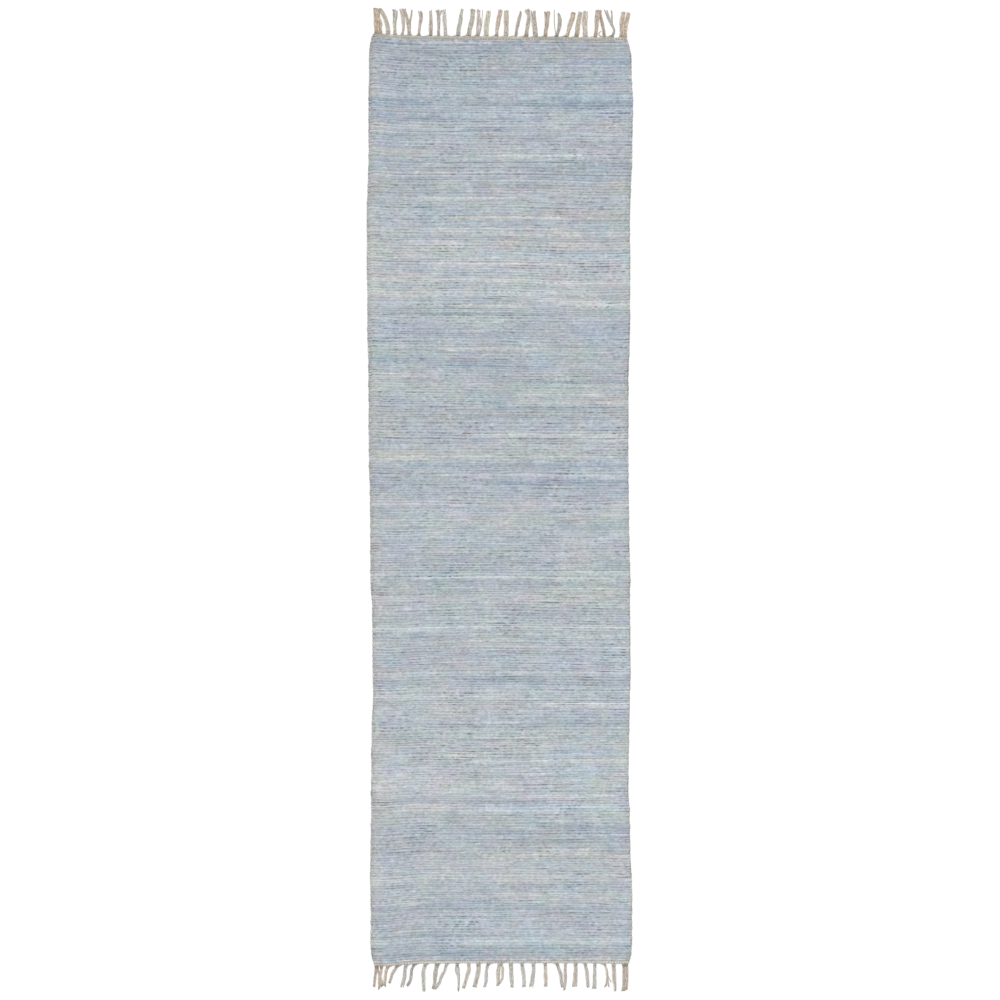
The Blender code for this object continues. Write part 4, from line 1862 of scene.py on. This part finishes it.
@dataclass
class Fringe:
    """The knotted locks of one end."""

    outline: Outline
    end: End
    soil: float
    radius: float = 1.05 * MM  # of one warp end
    rings: int = 29
    heights: tuple[float, ...] = (4.2, 4.8, 4.8, 4.6, 4.2, 3.2)  # of a lock, at even steps
    loose: float = 1.22  # how much wider than in the table a strand lies
    ends_per_width: float = 0.92  # a millimetre
    foot_margin: float = 1.8 * MM  # from the selvedge
    flat_share: int = 5  # one end in so many crosses the strand instead of turning round it
    start: float = -0.035  # inside the heading
    shortfall: tuple[float, float] = (-0.015, 0.018)  # mean and spread of the ends' length
    frays_at: float = 0.86  # of a strand's length
    fans_until: float = 0.075
    knot_at: float = 0.06
    wrap_radius: float = 0.95 * MM
    wrap_steps: int = 16
    wraps: tuple[Wrap, ...] = table(
        Wrap, (2.2, 0.9, 0.94), (3.9, 1.0, 1.0), (5.4, 0.9, 0.94), (3.9, -2.0, 1.03)
    )
    knot_height: float = 6.0 * MM
    strays: int = 2  # loose fibres beside each strand
    stray_radius: float = 0.4 * MM
    seed: int = 83

    def __post_init__(self) -> None:
        """Sets out its chance."""
        self.rng = np.random.default_rng(self.seed + self.end.value)

    def build(self, finish: bpy.types.Material) -> bpy.types.Object:
        """Builds the locks and dresses them.

        Args:
            finish: The cotton's material.

        Returns:
            The locks, as one piece.
        """
        yarns: list[Yarn] = []
        for lock in LOCKS[self.end]:
            counts = [
                max(1, round(strand.width * self.ends_per_width + 0.6)) for strand in lock.strands
            ]
            places = iter(np.linspace(-0.5, 0.5, max(2, sum(counts))))
            for strand, count in sorted(
                zip(lock.strands, counts), key=lambda pair: pair[0].path[1]
            ):
                fan = [next(places) for _ in range(count)]
                yarns += self._warp_ends(lock, strand, fan)
            yarns += self._knot(lock)
        piece = Tubes().build(f"{self.end.name.lower()}_locks", yarns)
        piece.data.materials.append(finish)
        return piece

    def _line(self, strands: Sequence[Strand], share: np.ndarray) -> tuple[np.ndarray, np.ndarray]:
        """The line that strands follow on the floor, or their middle.

        Args:
            strands: The strands.
            share: The shares of their reach.

        Returns:
            The line's points, and the direction across it at each.
        """
        weights = [strand.width for strand in strands]
        reach = float(np.average([strand.reach for strand in strands], weights=weights))
        step = 0.02
        ahead, x, behind = (
            np.average([curve(strand.path, at) for strand in strands], axis=0, weights=weights)
            for at in (share + step, share, share - step)
        )
        brink = self.outline.brink(self.end, np.array(strands[0].path[0] * MM))
        y = brink + self.end.value * share * reach * MM
        slope = (ahead - behind) / (2 * step * reach)
        across = np.stack((np.ones_like(slope), -self.end.value * slope), -1)
        return np.stack((x * MM, y), -1), across / np.linalg.norm(across, axis=1, keepdims=True)

    def _warp_ends(self, lock: Lock, strand: Strand, fan: Sequence[float]) -> list[Yarn]:
        """The warp ends of one strand, and the loose fibres beside it.

        Args:
            lock: The lock.
            strand: The strand.
            fan: Where each end leaves the heading, from -0.5 to 0.5 of the foot's width.

        Returns:
            The ends.
        """
        foot = 12 + 1.2 * sum(part.width for part in lock.strands)
        turns = self.rng.choice((-1, 1)) * self.rng.uniform(0.5, 1.1)
        root = strand.path[0] * MM
        brink = self.outline.brink(self.end, np.array(root))
        left, right = (
            self.outline.selvedge(brink, side) - side * self.foot_margin - root for side in (-1, 1)
        )
        core = len(fan) - len(fan) // self.flat_share
        bundle = Bundle(strand, foot, (left, right), core, turns)
        ends = [self._warp_end(lock, bundle, *place) for place in enumerate(fan)]
        if strand.width > 2:
            ends += [self._stray(lock, strand) for _ in range(self.strays)]
        return ends

    def _warp_end(self, lock: Lock, bundle: Bundle, index: int, place: float) -> Yarn:
        """One warp end: out of the heading, through the knot and on to a frayed tip.

        Args:
            lock: The lock.
            bundle: How the strand's ends lie.
            index: Its number among them.
            place: Where it leaves the heading, from -0.5 to 0.5 of the foot's width.

        Returns:
            The end.
        """
        strand = bundle.strand
        full = 1 + self.rng.normal(*self.shortfall)
        share = np.linspace(0.045, 1, self.rings - 3) ** 1.05 * full
        share = np.r_[self.start, 0.0, 0.02, share]
        centre, across = self._line([strand], share)
        grown = 1 + (strand.tip - 1) * ease((share - 0.25) / 0.75)
        half = self.loose * strand.width * MM * grown / 2 - 0.6 * self.radius
        high = np.interp(share, np.linspace(0, 1, len(self.heights)), self.heights) * MM
        high = high * min(1.0, 0.4 + strand.width / 8)
        spread = 0.25 if index >= bundle.core else 1.0
        angle = 2 * np.pi * (index / bundle.core + bundle.turns * share) + self.rng.normal(0, 0.12)
        rise = np.maximum(high / 2 - self.radius, 0) * (1 + spread * np.sin(angle))
        fray = np.clip((share - self.frays_at) / (1 - self.frays_at), 0, 1.15)
        aside = np.maximum(half, 0) * spread * np.cos(angle)
        aside = aside + fray * self.rng.normal(0, 0.8 * MM) * strand.fray
        aside = aside + 0.22 * MM * np.sin(share * self.rng.uniform(9, 16) + index)
        past = (share - self.start) / (self.fans_until - self.start)
        fanned = np.clip(1 - past, 0, 1) ** 1.4
        seat = np.clip((place * bundle.foot + lock.foot) * MM, *bundle.edges)
        aside = aside * (1 - fanned) + fanned * seat
        radius = self.radius * (1 - 0.3 * fray) * self.rng.uniform(0.92, 1.08)
        rise = rise * (1 - 0.4 * fray) * (1 - 0.6 * fanned) + radius * 1.02
        knotted = np.exp(-(((share - self.knot_at) / self.knot_at) ** 2))
        # Darker at the knot: soil, and painted shade of the knot.
        grime_and_shade = self.soil + lock.soiled + (0.3 + 0.5 * lock.knot_soil_and_shade) * knotted + 0.5 * fray
        grime_and_shade = grime_and_shade + self.rng.normal(0, 0.14)
        cast, warm = lock.cast + self.rng.normal(0, 0.06), lock.warm + self.rng.normal(0, 0.08)
        path = np.column_stack((centre + across * aside[:, None], rise))
        return Yarn(path, radius, grime_and_shade, cast, warm)

    def _stray(self, lock: Lock, strand: Strand) -> Yarn:
        """A loose fibre that lies beside a strand.

        Args:
            lock: The lock.
            strand: The strand.

        Returns:
            The fibre.
        """
        start = self.rng.uniform(0.1, 0.45)
        share = np.linspace(start, min(start + self.rng.uniform(0.35, 0.6), 1.02), 12)
        centre, across = self._line([strand], share)
        way = (share - share[0]) / (share[-1] - share[0])
        side = self.rng.choice((-1, 1)) * MM
        out = side * (0.55 * strand.width + self.rng.uniform(0.8, 2.2) * np.sin(np.pi * way))
        rise = self.stray_radius + 1.5 * MM * self.rng.uniform(0.2, 1.0) * (1 - way)
        path = np.column_stack((centre + across * out[:, None], rise))
        radius = self.stray_radius * (1 - 0.5 * way)
        return Yarn(path, radius, np.zeros(len(path)), lock.cast, lock.warm)

    def _knot(self, lock: Lock) -> list[Yarn]:
        """The knot close to the heading: turns that lie round the lock, with one across them.

        Args:
            lock: The lock.

        Returns:
            The turns.
        """
        angle = np.linspace(0, 2 * np.pi, self.wrap_steps + 1)
        thick = [strand for strand in lock.strands if strand.width > 1.5]
        roots = [strand.path[0] for strand in thick]
        reach = float(np.mean([strand.reach for strand in thick]))
        widest = max(strand.width for strand in thick)
        wide = max(widest, max(roots) - min(roots) + thick[0].width) * MM * 0.58
        wide -= self.wrap_radius * 0.5
        high = self.knot_height / 2 - self.wrap_radius
        lean = self.rng.choice((-1, 1))
        turns = []
        for place, slant, girth in self.wraps:
            along = place + lean * slant * np.cos(angle)
            centre, across = self._line(thick, along / reach)
            spot = centre + across * (wide * girth * np.cos(angle))[:, None]
            rise = self.wrap_radius + high * (1 + 0.98 * np.sin(angle)) * girth
            path = np.column_stack((spot, np.maximum(rise, self.wrap_radius)))
            # The knot's turns darker: soil, and painted shade of the knot.
            grime_and_shade = 0.36 + lock.soiled + 0.9 * lock.knot_soil_and_shade + 0.12 * np.sin(angle * 2 + place)
            grime_and_shade = grime_and_shade + self.rng.normal(0, 0.05)
            radius = np.full(len(path), self.wrap_radius)
            turns.append(Yarn(path, radius, grime_and_shade, lock.cast, lock.warm, is_ring=True))
        return turns


@dataclass(frozen=True)
class Studio:
    """A pale floor, soft light from above, and a camera straight over the rug."""

    floor_size: float = 80.0
    floor_colour: Colour = (0.92, 0.92, 0.92)
    floor_drop: float = 0.05 * MM  # so that nothing on the rug lies in its plane
    sky: float = 0.66
    sun: float = 2.05
    sun_size: float = 0.5  # angle in radians
    sun_turn: tuple[float, float, float] = (-0.55, -0.30, 0.0)
    lens: float = 85.0
    sensor: float = 36.0
    view: float = 2.700  # side of the square that the picture shows
    centre: tuple[float, float] = (0.46 * MM, -0.27 * MM)

    def lay_floor(self) -> bpy.types.Object:
        """Lays the floor.

        Returns:
            The floor.
        """
        bench = Bench("studio_floor")
        values = {"Base Color": self.floor_colour, "Roughness": 0.95, "Specular IOR Level": 0.1}
        bench.fill(bench.shader, values)
        half = self.floor_size / 2
        mesh = bpy.data.meshes.new("floor")
        spots = [(-half, -half, 0), (half, -half, 0), (half, half, 0), (-half, half, 0)]
        mesh.from_pydata(spots, [], [(0, 1, 2, 3)])
        mesh.materials.append(bench.material)
        floor = placed(mesh)
        floor.location.z = -self.floor_drop
        return floor

    def hang_lights(self) -> None:
        """Lights the rug evenly from all round, and a little more from the upper left."""
        world = bpy.data.worlds.new("studio_sky")
        world.use_nodes = True
        sky = world.node_tree.nodes["Background"]
        sky.inputs["Color"].default_value = (1.0, 1.0, 1.0, 1.0)
        sky.inputs["Strength"].default_value = self.sky
        bpy.context.scene.world = world
        lamp = bpy.data.lights.new("studio_key", "SUN")
        lamp.energy = self.sun
        lamp.angle = self.sun_size
        key = bpy.data.objects.new("studio_key", lamp)
        key.rotation_euler = self.sun_turn
        bpy.context.scene.collection.objects.link(key)

    def place_camera(self, height: float) -> None:
        """Sets the camera over the rug.

        Args:
            height: The height of the cloth's top.
        """
        lens = bpy.data.cameras.new("camera")
        lens.lens = self.lens
        lens.sensor_width = self.sensor
        camera = bpy.data.objects.new("camera", lens)
        camera.location = (*self.centre, height + self.view * self.lens / self.sensor)
        bpy.context.scene.collection.objects.link(camera)
        bpy.context.scene.camera = camera
        bpy.context.scene.view_settings.view_transform = "Standard"


def seat(piece: bpy.types.Object, node: str, slot: str) -> None:
    """Lets a piece ride on the rug in place of its solid, and reports it.

    Args:
        piece: The piece.
        node: The solid that it stands for.
        slot: Not used.
    """
    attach(piece, "root")
    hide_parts(node)
    sides = ", ".join(f"{side / MM:.1f}" for side in piece.dimensions)
    LOG.info("%s: %d faces, %s mm", piece.name, len(piece.data.polygons), sides)


def main() -> None:
    """Builds the rug and its studio."""
    logging.basicConfig(level=logging.INFO, format="%(message)s")
    studio = Studio()
    studio.place_camera(height=6.0 * MM)
    studio.hang_lights()
    floor = studio.lay_floor()
    outline = Outline()
    rags = RagFinish().material("rag_weft")
    cotton = CottonFinish().material("cotton_warp")
    band_cotton = CottonFinish(
        rose=dyed(236, 225, 215),
        fair=dyed(235, 232, 222),
        green=dyed(228, 228, 214),
        dull=dyed(176, 178, 178),
        soiling=0.5,
        turns=300.0,
        lay=0.5,
        lane=0.5,
    ).material("cotton_heading")
    foot_cotton = CottonFinish(
        rose=dyed(234, 221, 210),
        dull=dyed(152, 145, 134),
    ).material("cotton_foot")
    bands = RagCloth(outline).build(rags)
    head, foot = (
        Heading(outline, End.HEAD, wear=0.8, dull=0.0, tan=0.4, tug=3.8 * MM, eyes_at=0.2),
        Heading(outline, End.FOOT, wear=0.0, dull=0.2, tan=0.0, tug=0.4 * MM, eyes_at=0.6),
    )
    head_end = [head.build(band_cotton), Fringe(outline, End.HEAD, soil=0.15).build(cotton)]
    foot_end = [foot.build(band_cotton), Fringe(outline, End.FOOT, soil=0.08).build(foot_cotton)]
    for node, pieces in (("head_fringe", head_end), ("foot_fringe", foot_end)):
        for piece in pieces:
            seat(piece, node, "cotton_warp")
    for index, band in enumerate(bands):
        seat(band, "woven_cloth", "rag_weft")


if __name__ == "__main__":
    main()
